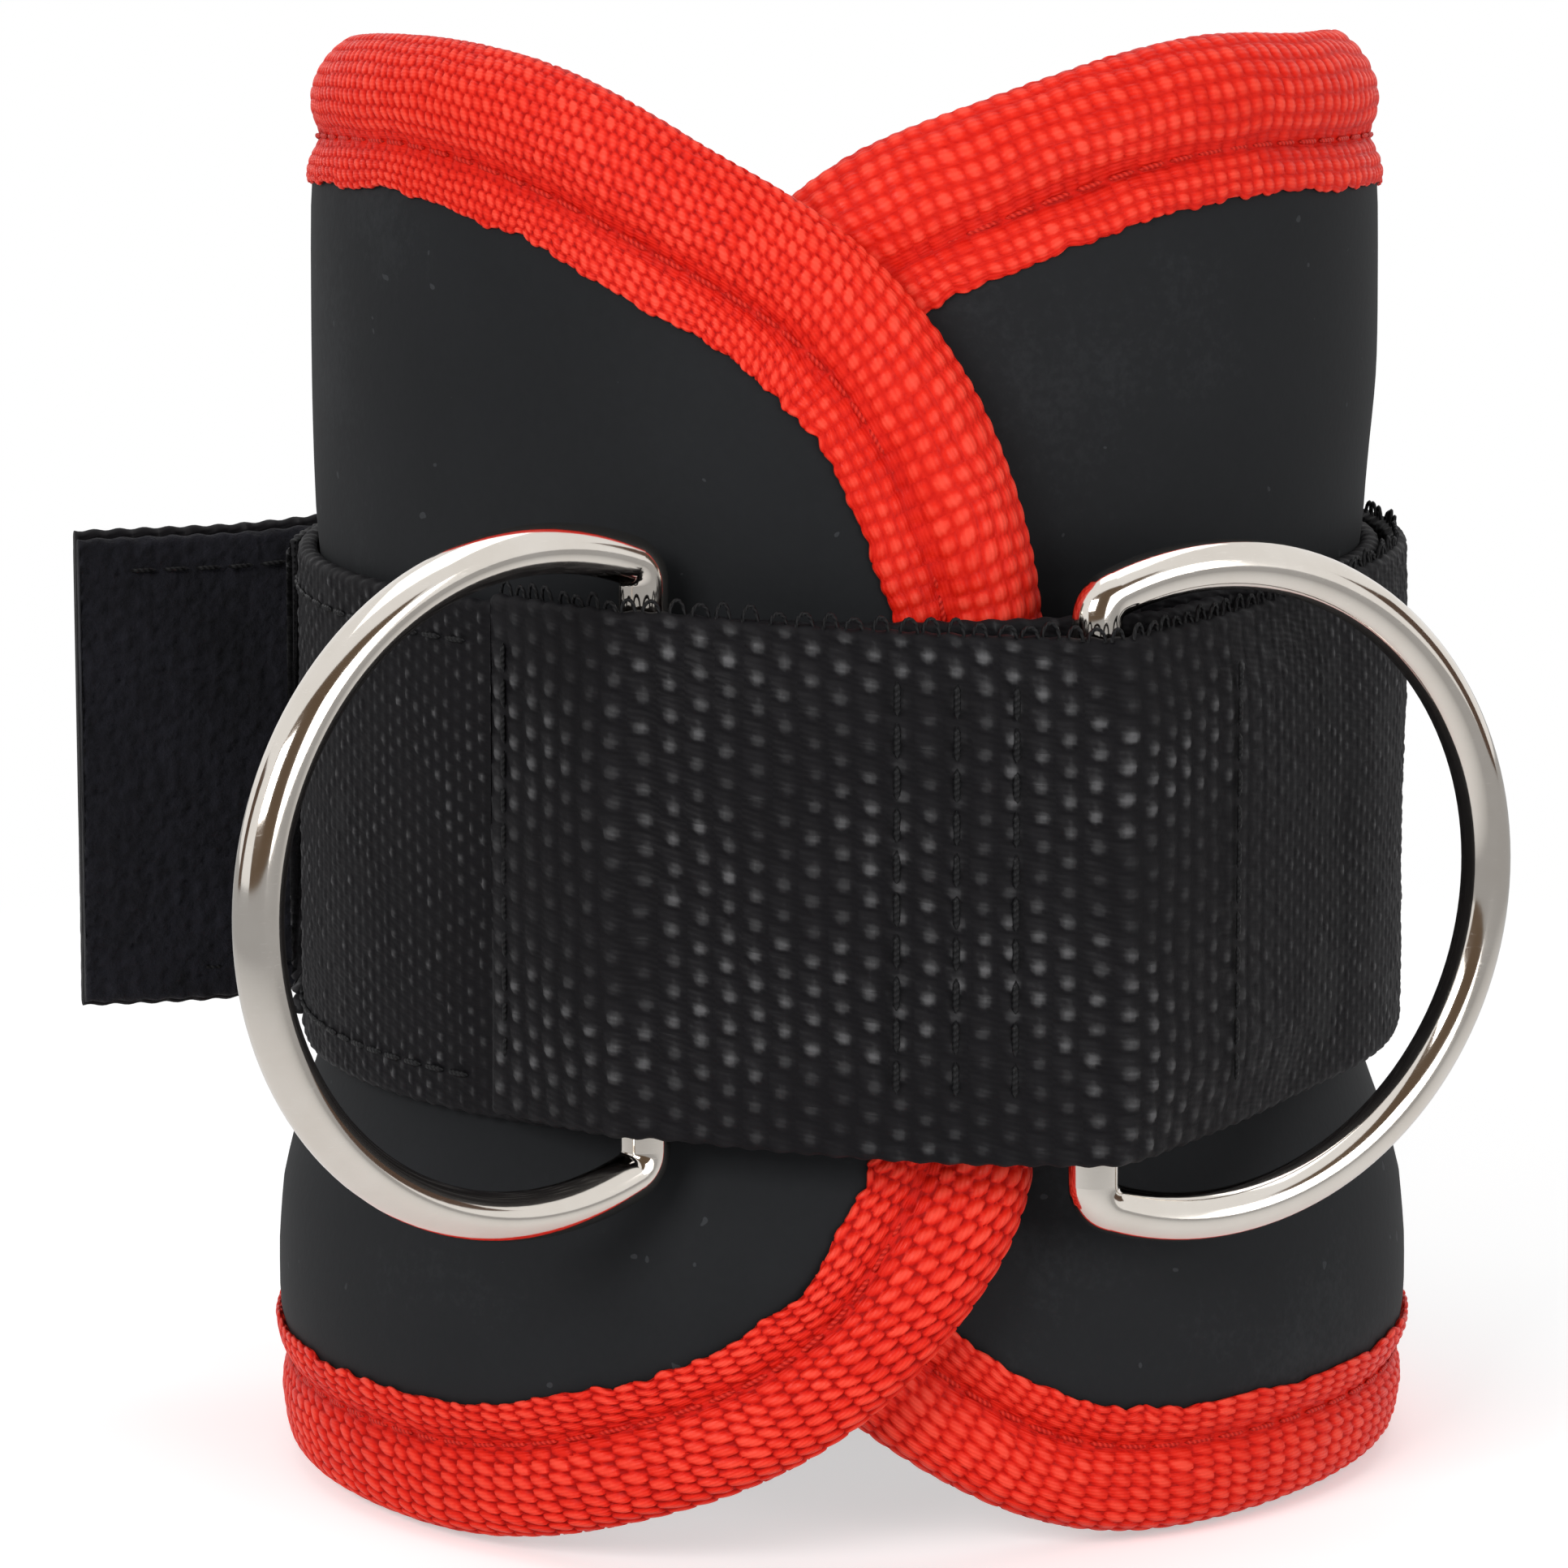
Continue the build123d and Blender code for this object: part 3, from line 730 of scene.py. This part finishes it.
def edge_stitches(name, w, side):
    """Lockstitches that lie in the tape's valley, all round the edge."""
    line = outline(4480)
    normals = inward(line, 12)
    total = loop_length(line)

    def place(run, lift=0.0):
        i = int(run / total * len(line)) % len(line)
        depth = VALLEY * float(tape_share(*line[i]))
        p = line[i] + normals[i] * depth
        return wrap(*[np.array([x]) for x in (p[0], p[1], w + lift * side, line[i, 0])])[0]

    stitches = []
    for k in range(int(total / STITCH)):
        middle = (k + 1) * STITCH
        stitches.append((place(middle - STITCH / 2 + 0.3), place(middle + STITCH / 2 - 0.3),
                         place(middle, 1.0) - place(middle)))
    return capsules(name, stitches, 0.17, RED_THREAD, sag=0.05)


stitches_outer = edge_stitches("binding_stitches_outer", -0.40, 1)
stitches_inner = edge_stitches("binding_stitches_inner", -PAD + 0.16, -1)


# ---- Webbing belts ----
def unit(angle):
    """Direction in plan at this angle in degrees."""
    return np.array([cos(radians(angle)), sin(radians(angle))])


def outward(angles):
    """Directions in plan at these angles in radians."""
    return np.stack([np.cos(angles), np.sin(angles)], 1)


def tangent_angle(first, second):
    """Direction in which a straight run between two circles faces. A circle is x, y and radius."""
    gap = (second[0] - first[0], second[1] - first[1])
    lean = acos(max(-1.0, min(1.0, (first[2] - second[2]) / hypot(*gap))))
    return degrees(atan2(gap[1], gap[0]) - lean)


def belt_point(circle, angle):
    return np.array(circle[:2]) + circle[2] * unit(angle)


def turn_on(angle, previous, radius):
    """The same direction, reached by turning on round a circle. A negative radius turns the other way."""
    while radius >= 0 and angle < previous - 0.001:
        angle += 360
    while angle > previous + (0.001 if radius < 0 else 359.999):
        angle -= 360
    return angle


def belt_path(circles, first_angle, last_angle, run_out=0.0, step=0.4, lift=WEB_T / 2):
    """Distance along its middle, points and directions of a belt's inner face, round circles and beyond."""
    points, angles = [], []

    def straight(run, parts, stop):
        start = points[-1]
        for k in range(1, stop):
            points.append(start + run * k / parts)
            angles.append(angle)

    angle = first_angle
    for circle, following in zip(circles, circles[1:] + [None]):
        leave = turn_on(tangent_angle(circle, following), angle, circle[2]) if following else last_angle
        arc = abs(radians(leave - angle) * (circle[2] + lift))
        for a in np.linspace(angle, leave, max(2, int(arc / step) + 1)):
            points.append(belt_point(circle, a))
            angles.append(a)
        angle = leave
        if following:
            run = belt_point(following, leave) - points[-1]
            parts = int(np.linalg.norm(run) / step)
            straight(run, parts, parts)
    if run_out > 0:
        parts = int(run_out / step)
        straight(unit(angle + 90) * run_out, parts, parts + 1)
    return even_path(np.array(points), np.radians(np.array(angles)), lift)


def even_path(points, angles, lift, step=0.3):
    """The same path with even spacing along its middle line and no doubled points."""
    run = length_along(points + lift * outward(angles))
    keep = np.concatenate([[True], np.diff(run) > 1e-6])
    run, points, angles = run[keep], points[keep], angles[keep]
    at = np.linspace(0, run[-1], int(run[-1] / step) + 1)
    return at, along(at, run, points), np.interp(at, run, angles)


def web_section(width, low, high, fine, coarse):
    """Loop round a band's section: shown face, edge, hidden face, edge. Columns: z, lift."""
    r = (high - low) / 2
    half = width / 2 - r * 0.8
    shown = np.linspace(-half, half, int(width / fine))
    hidden = np.linspace(half, -half, int(width / coarse))
    turn = np.radians(np.linspace(90, -90, 7)[1:-1])
    top = np.stack([half + r * 0.8 * np.cos(turn), low + r + r * np.sin(turn)], 1)
    foot = top[::-1] * [-1, 1]
    loop = np.vstack([np.stack([shown, np.full_like(shown, high)], 1), top,
                      np.stack([hidden, np.full_like(hidden, low)], 1), foot])
    return loop, len(shown), len(hidden)


CELL_A, CELL_Z = 2.0, 2.2  # pitch of the strap's beads along and across it


def strap_relief(a, z, dash):
    """Relief of the strap: beads in staggered columns with a thin strand above each, or short dashes."""
    def cells(pitch_a, pitch_z):
        i = np.floor(a / pitch_a)
        row = z / pitch_z + 0.5 * np.mod(i, 2)
        j = np.floor(row)
        chance = cell_random(i, j, 7)
        return a / pitch_a - i - 0.5 + 0.1 * (chance - 0.5), row - j - 0.5, chance

    x, y, chance = cells(CELL_A, CELL_Z)
    bead = dome(x, y + 0.1, 0.33, 0.29) * (0.8 + 0.2 * chance)
    strand = 0.5 * np.exp(-(x / 0.10) ** 2) * smooth(0.5, 0.3, y) * smooth(0.0, 0.12, y)
    lean = 0.32 * smooth(0.5, 0.2, np.abs(x + 0.4 * y)) * smooth(0.5, 0.35, np.abs(y - 0.3))
    x, y, chance = cells(1.1, 1.5)
    short = dome(x, y, 0.26, 0.33) * (0.4 + 0.6 * chance)
    # Bead height varies in random patches and rises near a = 32, right of the centre; in colour the rise
    # paints brighter glints there, a painted highlight.
    worn = 0.6 + 0.4 * smooth(-0.9, 0.9, waves(a, z, 17, 71) + 0.5 * np.exp(-((a - 32) / 10) ** 2))
    return np.maximum(np.maximum(bead, strand), lean) * (1 - dash) * worn + short * dash


def sweep_band(track, levels, width=WEB_W, fine=0.3, coarse=1.1, adjust=None, seed=0, relief=0.34, dash=0.0,
               shown_out=True, pattern=strap_relief):
    """A band swept along a path between two lifts, woven on its shown face."""
    at, path, angles = track
    loop, shown_n, hidden_n = web_section(width, levels[0], levels[1], fine, coarse)
    if not shown_out:
        loop[:, 1] = levels[0] + levels[1] - loop[:, 1]
    z, lift = [np.repeat(column[None], len(at), 0) for column in loop.T]
    a = np.repeat(at[:, None], len(loop), 1)
    wave_a = a + 0.10 * waves(a, z, 12, seed + 31)
    wave_z = z + 0.10 * waves(a, z, 12, seed + 32)
    height = pattern(wave_a, wave_z, dash)
    side = np.ones(len(loop)) * (1 if shown_out else -1)
    side[shown_n + 5:shown_n + 5 + hidden_n] *= -1
    edge = smooth(width / 2, width / 2 - 1.0, np.abs(z))
    amount = relief * (1 - 0.45 * dash) * (0.3 + 0.7 * edge)
    lift = lift + (height - 0.4) * amount * side
    z = z + 0.08 * np.sin(a * pi) * (1 - edge) * np.sign(z)
    if adjust is not None:
        z, lift = adjust(a, z, lift)
    xy = path[:, None, :] + outward(angles)[:, None, :] * lift[:, :, None]
    points = np.concatenate([xy, (z + WEB_MID)[:, :, None]], 2)
    uv = np.stack([wave_a / CELL_A, wave_z / CELL_Z], -1)
    return points, uv, height * (0.5 + 0.5 * edge)


def band_object(name, made, material, first=0, last=None):
    points, uv, relief = (x[first:last] for x in made)
    rows, columns = points.shape[:2]
    quads = [grid_faces(rows, columns, closed=True)[:, ::-1], ring_cap(0, columns, True),
             ring_cap((rows - 1) * columns, columns, False)]
    return mesh_from(name, points, np.vstack(quads), uv, material, relief)


SEAM_MARGIN = 3.0


def seam(name, rows, radius=0.2, stitch=2.6):
    """Rows of stitches. Each row is a line of points and its outward normals."""
    stitches = []
    for line, normals in rows:
        run = length_along(line)
        for k in range(int(run[-1] / stitch)):
            start, stop = k * stitch + 0.3, (k + 1) * stitch - 0.2
            stitches.append((along(start, run, line), along(stop, run, line), along(start, run, normals)))
    return capsules(name, stitches, radius, BLACK_THREAD, sag=0.1, sides=6, rings=7)


def belt_rows(track, lift, first=0.0, last=1e9, drop=lambda at: 0):
    """Two stitch rows along a belt, near its edges, on the face at this lift."""
    keep = (track[0] >= first) & (track[0] <= last)
    at, path, angles = [x[keep] for x in track]
    n = outward(angles)
    return [(np.column_stack([path + n * lift, WEB_MID + z + drop(at) + 0 * at]),
             np.column_stack([n * np.sign(lift), 0 * at]))
            for z in (-WEB_W / 2 + SEAM_MARGIN, WEB_W / 2 - SEAM_MARGIN)]


def upright(point, angle, tilt):
    """One stitch line across a belt, through a point of its outer face."""
    z = np.linspace(WEB_HIGH - SEAM_MARGIN, WEB_LOW + SEAM_MARGIN, 40) + tilt
    return [np.column_stack([0 * z + x, 0 * z + y, up]) for x, y, up in ((*point, z), (*unit(angle), 0 * z))]


STRAP_START = 26.0  # the strap's sewn end, left of the centre line
TAIL_NORMAL = 132.0  # where the tail leaves the cuff
left_bar = (LEFT_BAR[0], LEFT_BAR[1], BAR_TURN)
right_bar = (RIGHT_BAR[0], RIGHT_BAR[1], BAR_TURN)
right_turn = (0.0, SHIFT, RIGHT_R + STRAP_LIFT)
left_turn = (0.0, -SHIFT, LEFT_R + STRAP_LIFT)
slope = tangent_angle(right_bar, right_turn)
start_y = -SHIFT - sqrt((LEFT_R + WEB_T + PLY_GAP) ** 2 - STRAP_START ** 2)
strap_circles = [(-STRAP_START, start_y, 0.0), left_bar, right_bar, right_turn, left_turn]
start_normal = tangent_angle(strap_circles[0], strap_circles[1])
strap_track = belt_path(strap_circles, start_normal, TAIL_NORMAL + (360 if start_normal > 180 else 0))
strap_x = strap_track[1][:, 0]
in_front = strap_track[1][:, 1] < 0


def strap_place(at):
    """Place across the front at a distance along the strap, and 1 in front or 0 behind."""
    return np.interp(at, strap_track[0], strap_x), np.interp(at, strap_track[0], in_front.astype(float))


def strap_tilt(x):
    """The strap lies a little askew between the bars: higher at the left one."""
    return np.interp(x, [-40, -26, -16, 16, 28, 40], [0, 0.9, 1.2, -0.8, -0.6, 0])


BOW = 2.6  # between the bars
RIGHT_BOW, LEFT_BOW = 1.3, 0.3


def bow(at):
    """How far the strap bows out between its bends."""
    x, front = strap_place(at)
    middle = np.clip(1 - (x / BAR_X) ** 2, 0, 1)
    left = np.clip(1 - ((x + 21) / 5.0) ** 2, 0, 1)
    right = np.clip(1 - ((x - 25) / 9.0) ** 2, 0, 1)
    return (BOW * middle + LEFT_BOW * left + RIGHT_BOW * right) * front


def lie_strap(a, z, lift):
    """The strap's tilt, its soft bow between the bars, and edges that curl in a little."""
    x, front = strap_place(a)
    curl = 0.8 * smooth(12, 19, np.abs(z)) * front * np.clip(bow(a), 0, 1)
    bends = np.exp(-((x - BAR_X) / 2.2) ** 2) + 0.6 * np.exp(-((x + BAR_X) / 2.2) ** 2)
    worn = 0.6 * bends * front * (lift > 0.7)
    return z + strap_tilt(x) * front, lift + bow(a) - curl - worn + 0.12 * waves(a, z, 30, 41)


# The free tail: straight on from its root, round an outward bend, and straight again.
TAIL_ROOT, TAIL_BEND_R, TAIL_BEND, TAIL_END = 10.5, 20.0, 27.0, 17.0
STRAP_RUN = strap_track[0][-1]
DROOP, DROOP_OVER = 2.0, 26.0
PILE_WIDTH = WEB_W - 1.0
root = belt_point(left_turn, TAIL_NORMAL)
heading = unit(TAIL_NORMAL + 90)
tail_bend = (*(root + heading * TAIL_ROOT + unit(TAIL_NORMAL) * TAIL_BEND_R), -TAIL_BEND_R)
tail_track, pile_track = [belt_path(circles, TAIL_NORMAL, TAIL_NORMAL - TAIL_BEND, TAIL_END)
                          for circles in ([(*root, 0.0), tail_bend], [tail_bend])]


def droop(at):
    """How far the tail sags at a distance from its root."""
    return -DROOP * smooth(0, DROOP_OVER, at)


def hang_tail(a, z, lift):
    """The free tail sags under its own weight."""
    return z + droop(a), lift + 0.35 * waves(a, z, 26, 51) * smooth(6, 20, a)


def lie_whole(a, z, lift):
    """The strap as it lies on the cuff, then its tail as it hangs."""
    on_cuff = a <= STRAP_RUN
    lain = lie_strap(np.minimum(a, STRAP_RUN), z, lift)
    hung = hang_tail(np.maximum(a - STRAP_RUN, 0), lain[0], lain[1])
    return [np.where(on_cuff, x, y) for x, y in zip(lain, hung)]


def fuzz(a, z, dash):
    """Relief of the looped pile."""
    low = waves(a, z, 1.1, 61, 9) * 0.3 + waves(a, z, 0.62, 62, 9) * 0.3
    return np.clip(0.5 + 0.5 * low, 0, 1)


whole_track = (np.concatenate([strap_track[0], STRAP_RUN + tail_track[0][1:]]),
               *[np.concatenate([a, b[1:]]) for a, b in zip(strap_track[1:], tail_track[1:])])
strap_dash = smooth(18, 34, strap_x) * in_front + (1 - in_front)
whole_dash = np.concatenate([strap_dash, np.ones(len(tail_track[0]) - 1)])
whole_made = sweep_band(whole_track, (0, WEB_T), adjust=lie_whole, dash=whole_dash[:, None])
split = len(strap_track[0]) - 3
closure = band_object("closure_strap_band", whole_made, BLACK, last=split + 1)
tail_band = band_object("strap_tail_band", whole_made, BLACK, first=split)
pile_made = sweep_band(pile_track, (-1.35, -0.05), PILE_WIDTH, 0.34, 1.2, shown_out=False, seed=5, relief=0.5,
                       pattern=fuzz, adjust=lambda a, z, lift: hang_tail(a + TAIL_ROOT, z, lift))
pile = band_object("pile_tape_face", pile_made, PILE)
pile_end = pile_track[0][-1] - SEAM_MARGIN
pile_rows = belt_rows(pile_track, -1.42, last=pile_end, drop=lambda at: droop(at + TAIL_ROOT))
pile_seams = seam("pile_tape_stitches", pile_rows, radius=0.17)

# Base webbing, with its bend behind the right bar and a flap sewn to the strap.
ELBOW_R, FLAP = 4.5, 7.0
first_n = 270 + degrees(asin(RIGHT_BAR[0] / (LEFT_R + WEB_T + BAR_TURN))) + 1.0
first_way, second_way = unit(first_n), unit(slope)
bar_foot = second_way @ belt_point(right_bar, slope)
first_reach = first_way @ (0.0, -SHIFT) + LEFT_R + WEB_T - (ELBOW_R + WEB_T)
second_reach = bar_foot - PLY_GAP - (ELBOW_R + WEB_T)
spread_n = sin(radians(slope - first_n))
elbow = ((first_reach * second_way[1] - second_reach * first_way[1]) / spread_n,
         (second_reach * first_way[0] - first_reach * second_way[0]) / spread_n, ELBOW_R)
base_circles = [(0.0, SHIFT, RIGHT_R), (0.0, -SHIFT, LEFT_R), elbow]
base_track = belt_path(base_circles, -60.0, slope + 360, FLAP)
base_made = sweep_band(base_track, (0, WEB_T), seed=3, dash=1.0, relief=0.42)
base = band_object("base_webbing_band", base_made, BLACK)
base_end = 270 - degrees(asin(STRAP_START / LEFT_R)) - 2
base_rows = belt_path(base_circles[:2], -58.0, base_end)
base_seams = seam("base_webbing_stitches", belt_rows(base_rows, WEB_T + 0.05))

# Stitch lines across the strap.
end_spot = np.array(strap_circles[0][:2]) + unit(start_normal + 90) * 1.6 + unit(start_normal) * (WEB_T + 0.1)
end_seam = seam("strap_end_stitches", [upright(end_spot, start_normal, 0.9)])
front_y = LEFT_BAR[1] - BAR_TURN - WEB_T
centre_rows = [upright((x, front_y - BOW * (1 - (x / BAR_X) ** 2) - 0.05), 270, strap_tilt(x))
               for x in (1.8, 6.0, 10.2)]
centre_seams = seam("centre_stitches", centre_rows, radius=0.24, stitch=3.0)
flap = np.array(elbow[:2]) + second_way * ELBOW_R + unit(slope + 90) * FLAP / 2
tunnel_spot = flap + second_way * (bar_foot + WEB_T - second_way @ flap + 0.1)
right_front = in_front & (strap_x > 0)
near_bow = bow(np.interp(tunnel_spot[0], strap_x[right_front], strap_track[0][right_front]))
tunnel_seam = seam("right_tunnel_stitches", [upright(tunnel_spot + second_way * near_bow, slope, -0.7)])

HOOK_START, HOOK_LENGTH = TAIL_NORMAL + 18.0, 20.0
hook_stop = HOOK_START + degrees(HOOK_LENGTH / LEFT_R)
hook_track = belt_path([(0.0, -SHIFT, LEFT_R + WEB_T)], HOOK_START, hook_stop)


def hooks(a, z, dash):
    """Relief of the stiff hooks: small posts in close rows."""
    return dome(np.mod(a, 1.2) / 1.2 - 0.5, np.mod(z, 1.0) - 0.5, 0.3, 0.34)


hook_made = sweep_band(hook_track, (0.15, 0.9), PILE_WIDTH, 0.25, 1.2, seed=6, relief=0.5, pattern=hooks)
hook_tape = band_object("hook_tape_face", hook_made, BLACK)
hook_rows = belt_rows(hook_track, 1.12, SEAM_MARGIN, HOOK_LENGTH - SEAM_MARGIN)
hook_seams = seam("hook_tape_stitches", hook_rows, radius=0.17)


def looped_edge():
    """Small thread loops along the strap's upper edge, where the weft turns."""
    at, path, angles = strap_track
    verts, quads, uvs = [], [], []
    sides, rings, thread = 5, 9, 0.15
    up = np.array([0, 0, 1.0])
    r = np.random.default_rng(5)
    place = 1.0
    while place < at[-1] - 2:
        x, front = strap_place(place)
        angle = np.interp(place, at, angles)
        n = np.array([cos(angle), sin(angle), 0])
        f = np.array([-n[1], n[0], 0])
        lift = WEB_T / 2 + bow(place) - 0.6 * min(1.0, bow(place))
        foot = np.array([*along(place, at, path), 0]) + n * lift
        foot[2] = WEB_HIGH - 0.25 + strap_tilt(x) * front
        wide, tall, lean = 0.55 * r.uniform(0.85, 1.15), 1.1 * r.uniform(0.75, 1.2), r.uniform(-0.2, 0.3)
        first = len(verts)
        for g in np.pi * np.arange(rings) / (rings - 1):
            centre = foot - f * wide * cos(g) + up * (tall * sin(g)) + n * lean * sin(g)
            radial = up * sin(g) - f * cos(g)
            for c in range(sides):
                b = 2 * pi * c / sides
                verts.append(centre + thread * (radial * cos(b) + n * sin(b)))
                uvs.append((g * 2.4 / pi, c / sides))
        quads.append(grid_faces(rings, sides, closed=True, first=first)[:, ::-1])
        place += r.uniform(1.45, 2.0)
    return mesh_from("strap_edge_loops", verts, np.vstack(quads), uvs, BLACK_THREAD)


edge_loops = looped_edge()

# ---- Rings keep their CAD shape and get their plating ----
for node in ("left_ring", "right_ring"):
    mesh = frame["nodes"][node].data
    mesh.materials.clear()
    mesh.materials.append(NICKEL)

# ---- Who rides on what ----
CUFF_PIECES = {
    "neoprene_face": [(pad_cover, "outer_cover", "foam_core")],
    "lining": [(pad_lining, "inner_lining")],
    "binding_tape": [(piece, "edge_binding") for piece in binding],
    "red_thread": [(stitches_outer, "binding_seam_outer"), (stitches_inner, "binding_seam_inner")],
    "webbing": [(base, "base_webbing"), (closure, "closure_strap")],
    "hook": [(hook_tape, "hook_tape")],
    "black_thread": [
        (base_seams, "base_webbing_seams"), (edge_loops, "closure_strap"), (end_seam, "strap_end_seam"),
        (centre_seams, "centre_seams"), (tunnel_seam, "right_tunnel_seam"), (hook_seams, "hook_tape_seams")],
}
TAIL_PIECES = {"pile": [(pile, "pile_tape")], "black_thread": [(pile_seams, "pile_tape_seams")]}
for body, slots in (("cuff", CUFF_PIECES), ("tail", TAIL_PIECES)):
    for slot, pieces in slots.items():
        for piece, *nodes in pieces:
            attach(piece, body)
            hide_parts(*nodes)
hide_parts("strap_tail")
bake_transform(tail_band)

# ---- Floor, light and camera ----
scene = bpy.context.scene


def ray(n, kind):
    return n.put("ShaderNodeLightPath").outputs["Is %s Ray" % kind]


def shown_rays(n):
    """1 for camera, mirror and transmission rays, 0 for the rest."""
    return n.math("MAXIMUM", n.math("MAXIMUM", ray(n, "Camera"), ray(n, "Transmission")), ray(n, "Glossy"))


def plate(name, size, material, z=0.0):
    """A rectangle that isn't part of the object."""
    wide, tall = size[0] / 2, size[1] / 2
    corners = [(-wide, -tall, z), (wide, -tall, z), (wide, tall, z), (-wide, tall, z)]
    obj = mesh_from(name, corners, [[0, 1, 2, 3]], material=material)
    return obj


# The floor glows for the camera, more with the distance, so that it fades into white. It keeps the
# shadow near the object, and the metal sees less of its glow.
FLOOR_GLOW, GLOSSY_GLOW, FLOOR_GREY = 0.42, 0.45, 0.9
FADE_FROM, FADE_OVER = 0.07, 0.16
FLOOR_SIZE, FLOOR_Z = 6000.0, -0.25
floor_material, n, _ = new_material("floor_white")
x, y = n.split(n.object_coords())
far = n.math("SQRT", n.math("ADD", n.math("POWER", x, 2.0), n.math("POWER", y, 2.0)))
far = n.math("DIVIDE", n.math("SUBTRACT", far, FADE_FROM), FADE_OVER, clamp=True)
seen = shown_rays(n)
grey = n.times_add(n.math("MULTIPLY", far, seen), -FLOOR_GREY, FLOOR_GREY)
shade = n.put("ShaderNodeCombineColor", {0: grey, 1: grey, 2: grey}).outputs[0]
diffuse = n.put("ShaderNodeBsdfDiffuse", {"Color": shade}).outputs[0]
glow = n.math("MULTIPLY", seen, n.times_add(far, 1 - FLOOR_GLOW, FLOOR_GLOW))
glow = n.math("MULTIPLY", glow, n.times_add(ray(n, "Glossy"), GLOSSY_GLOW - 1, 1.0))
emit = n.put("ShaderNodeEmission", {"Color": (1, 1, 1, 1), "Strength": glow}).outputs[0]
both = n.put("ShaderNodeAddShader", {0: diffuse, 1: emit}).outputs[0]
n.feed(n.nt.nodes["Material Output"], {"Surface": both})
plate("floor", (FLOOR_SIZE, FLOOR_SIZE), floor_material, FLOOR_Z)

WORLD_LIGHT = 0.4
world = bpy.data.worlds.new("studio")
scene.world = world
world.use_nodes = True
n = Nodes(world.node_tree)
n.feed(world.node_tree.nodes["Background"], {
    "Color": (1, 1, 1, 1), "Strength": n.times_add(shown_rays(n), 1 - WORLD_LIGHT, WORLD_LIGHT)})


def face(obj, target, axis, up="Y"):
    """Turns an object towards a point."""
    obj.rotation_euler = (Vector(target) - obj.location).to_track_quat(axis, up).to_euler()


# Toned cards beside the camera's view, seen only in the metal.
for name, place, size, colour in (
    ("card_room", (0, -1250, 560), (2700, 1350), (0.15, 0.105, 0.07)),
    ("card_left", (-1150, 120, 240), (500, 620), (0.12, 0.08, 0.06)),
    ("card_right", (1150, 120, 240), (500, 620), (0.12, 0.08, 0.06)),
):
    card_material, n, _ = new_material(name)
    emit = n.put("ShaderNodeEmission", {"Color": (*colour, 1), "Strength": 1.0})
    n.feed(n.nt.nodes["Material Output"], {"Surface": emit.outputs[0]})
    card = plate(name, size, card_material)
    card.location = Vector(place) * MM
    face(card, (0, 0, 55 * MM), "Z")
    for kind in ("camera", "diffuse", "shadow", "transmission", "volume_scatter"):
        setattr(card, "visible_" + kind, False)

# Places and sizes in metres, power in watts.
for name, place, target, size, power in (
    ("key", (-0.5, -0.8, 0.5), (0, 0, 0.045), (0.5, 0.35), 5.2),
    ("fill", (0.7, -0.75, 0.25), (0, 0, 0.045), (0.6, 0.5), 3.4),
    ("top", (0.0, 0.15, 0.9), (0, 0, 0.055), (0.7, 0.7), 2.0),
):
    data = bpy.data.lights.new(name, "AREA")
    data.shape = "RECTANGLE"
    data.size, data.size_y = size
    data.energy = power
    lamp = bpy.data.objects.new(name, data)
    scene.collection.objects.link(lamp)
    lamp.location = place
    face(lamp, target, "-Z")

FOCUS, PHOTO_SIDE = 9120, 1932  # in pixels of the photo's size
CAMERA_DIP = 10.07  # degrees
camera_data = bpy.data.cameras.new("camera")
camera = bpy.data.objects.new("camera", camera_data)
scene.collection.objects.link(camera)
scene.camera = camera
camera_data.sensor_width = 36
camera_data.lens = 36 * FOCUS / PHOTO_SIDE
camera_data.clip_start = 0.01
camera.location = (-0.0061, -0.560, 0.150)
camera.rotation_euler = (radians(90 - CAMERA_DIP), 0, 0)
scene.view_settings.view_transform = "Standard"
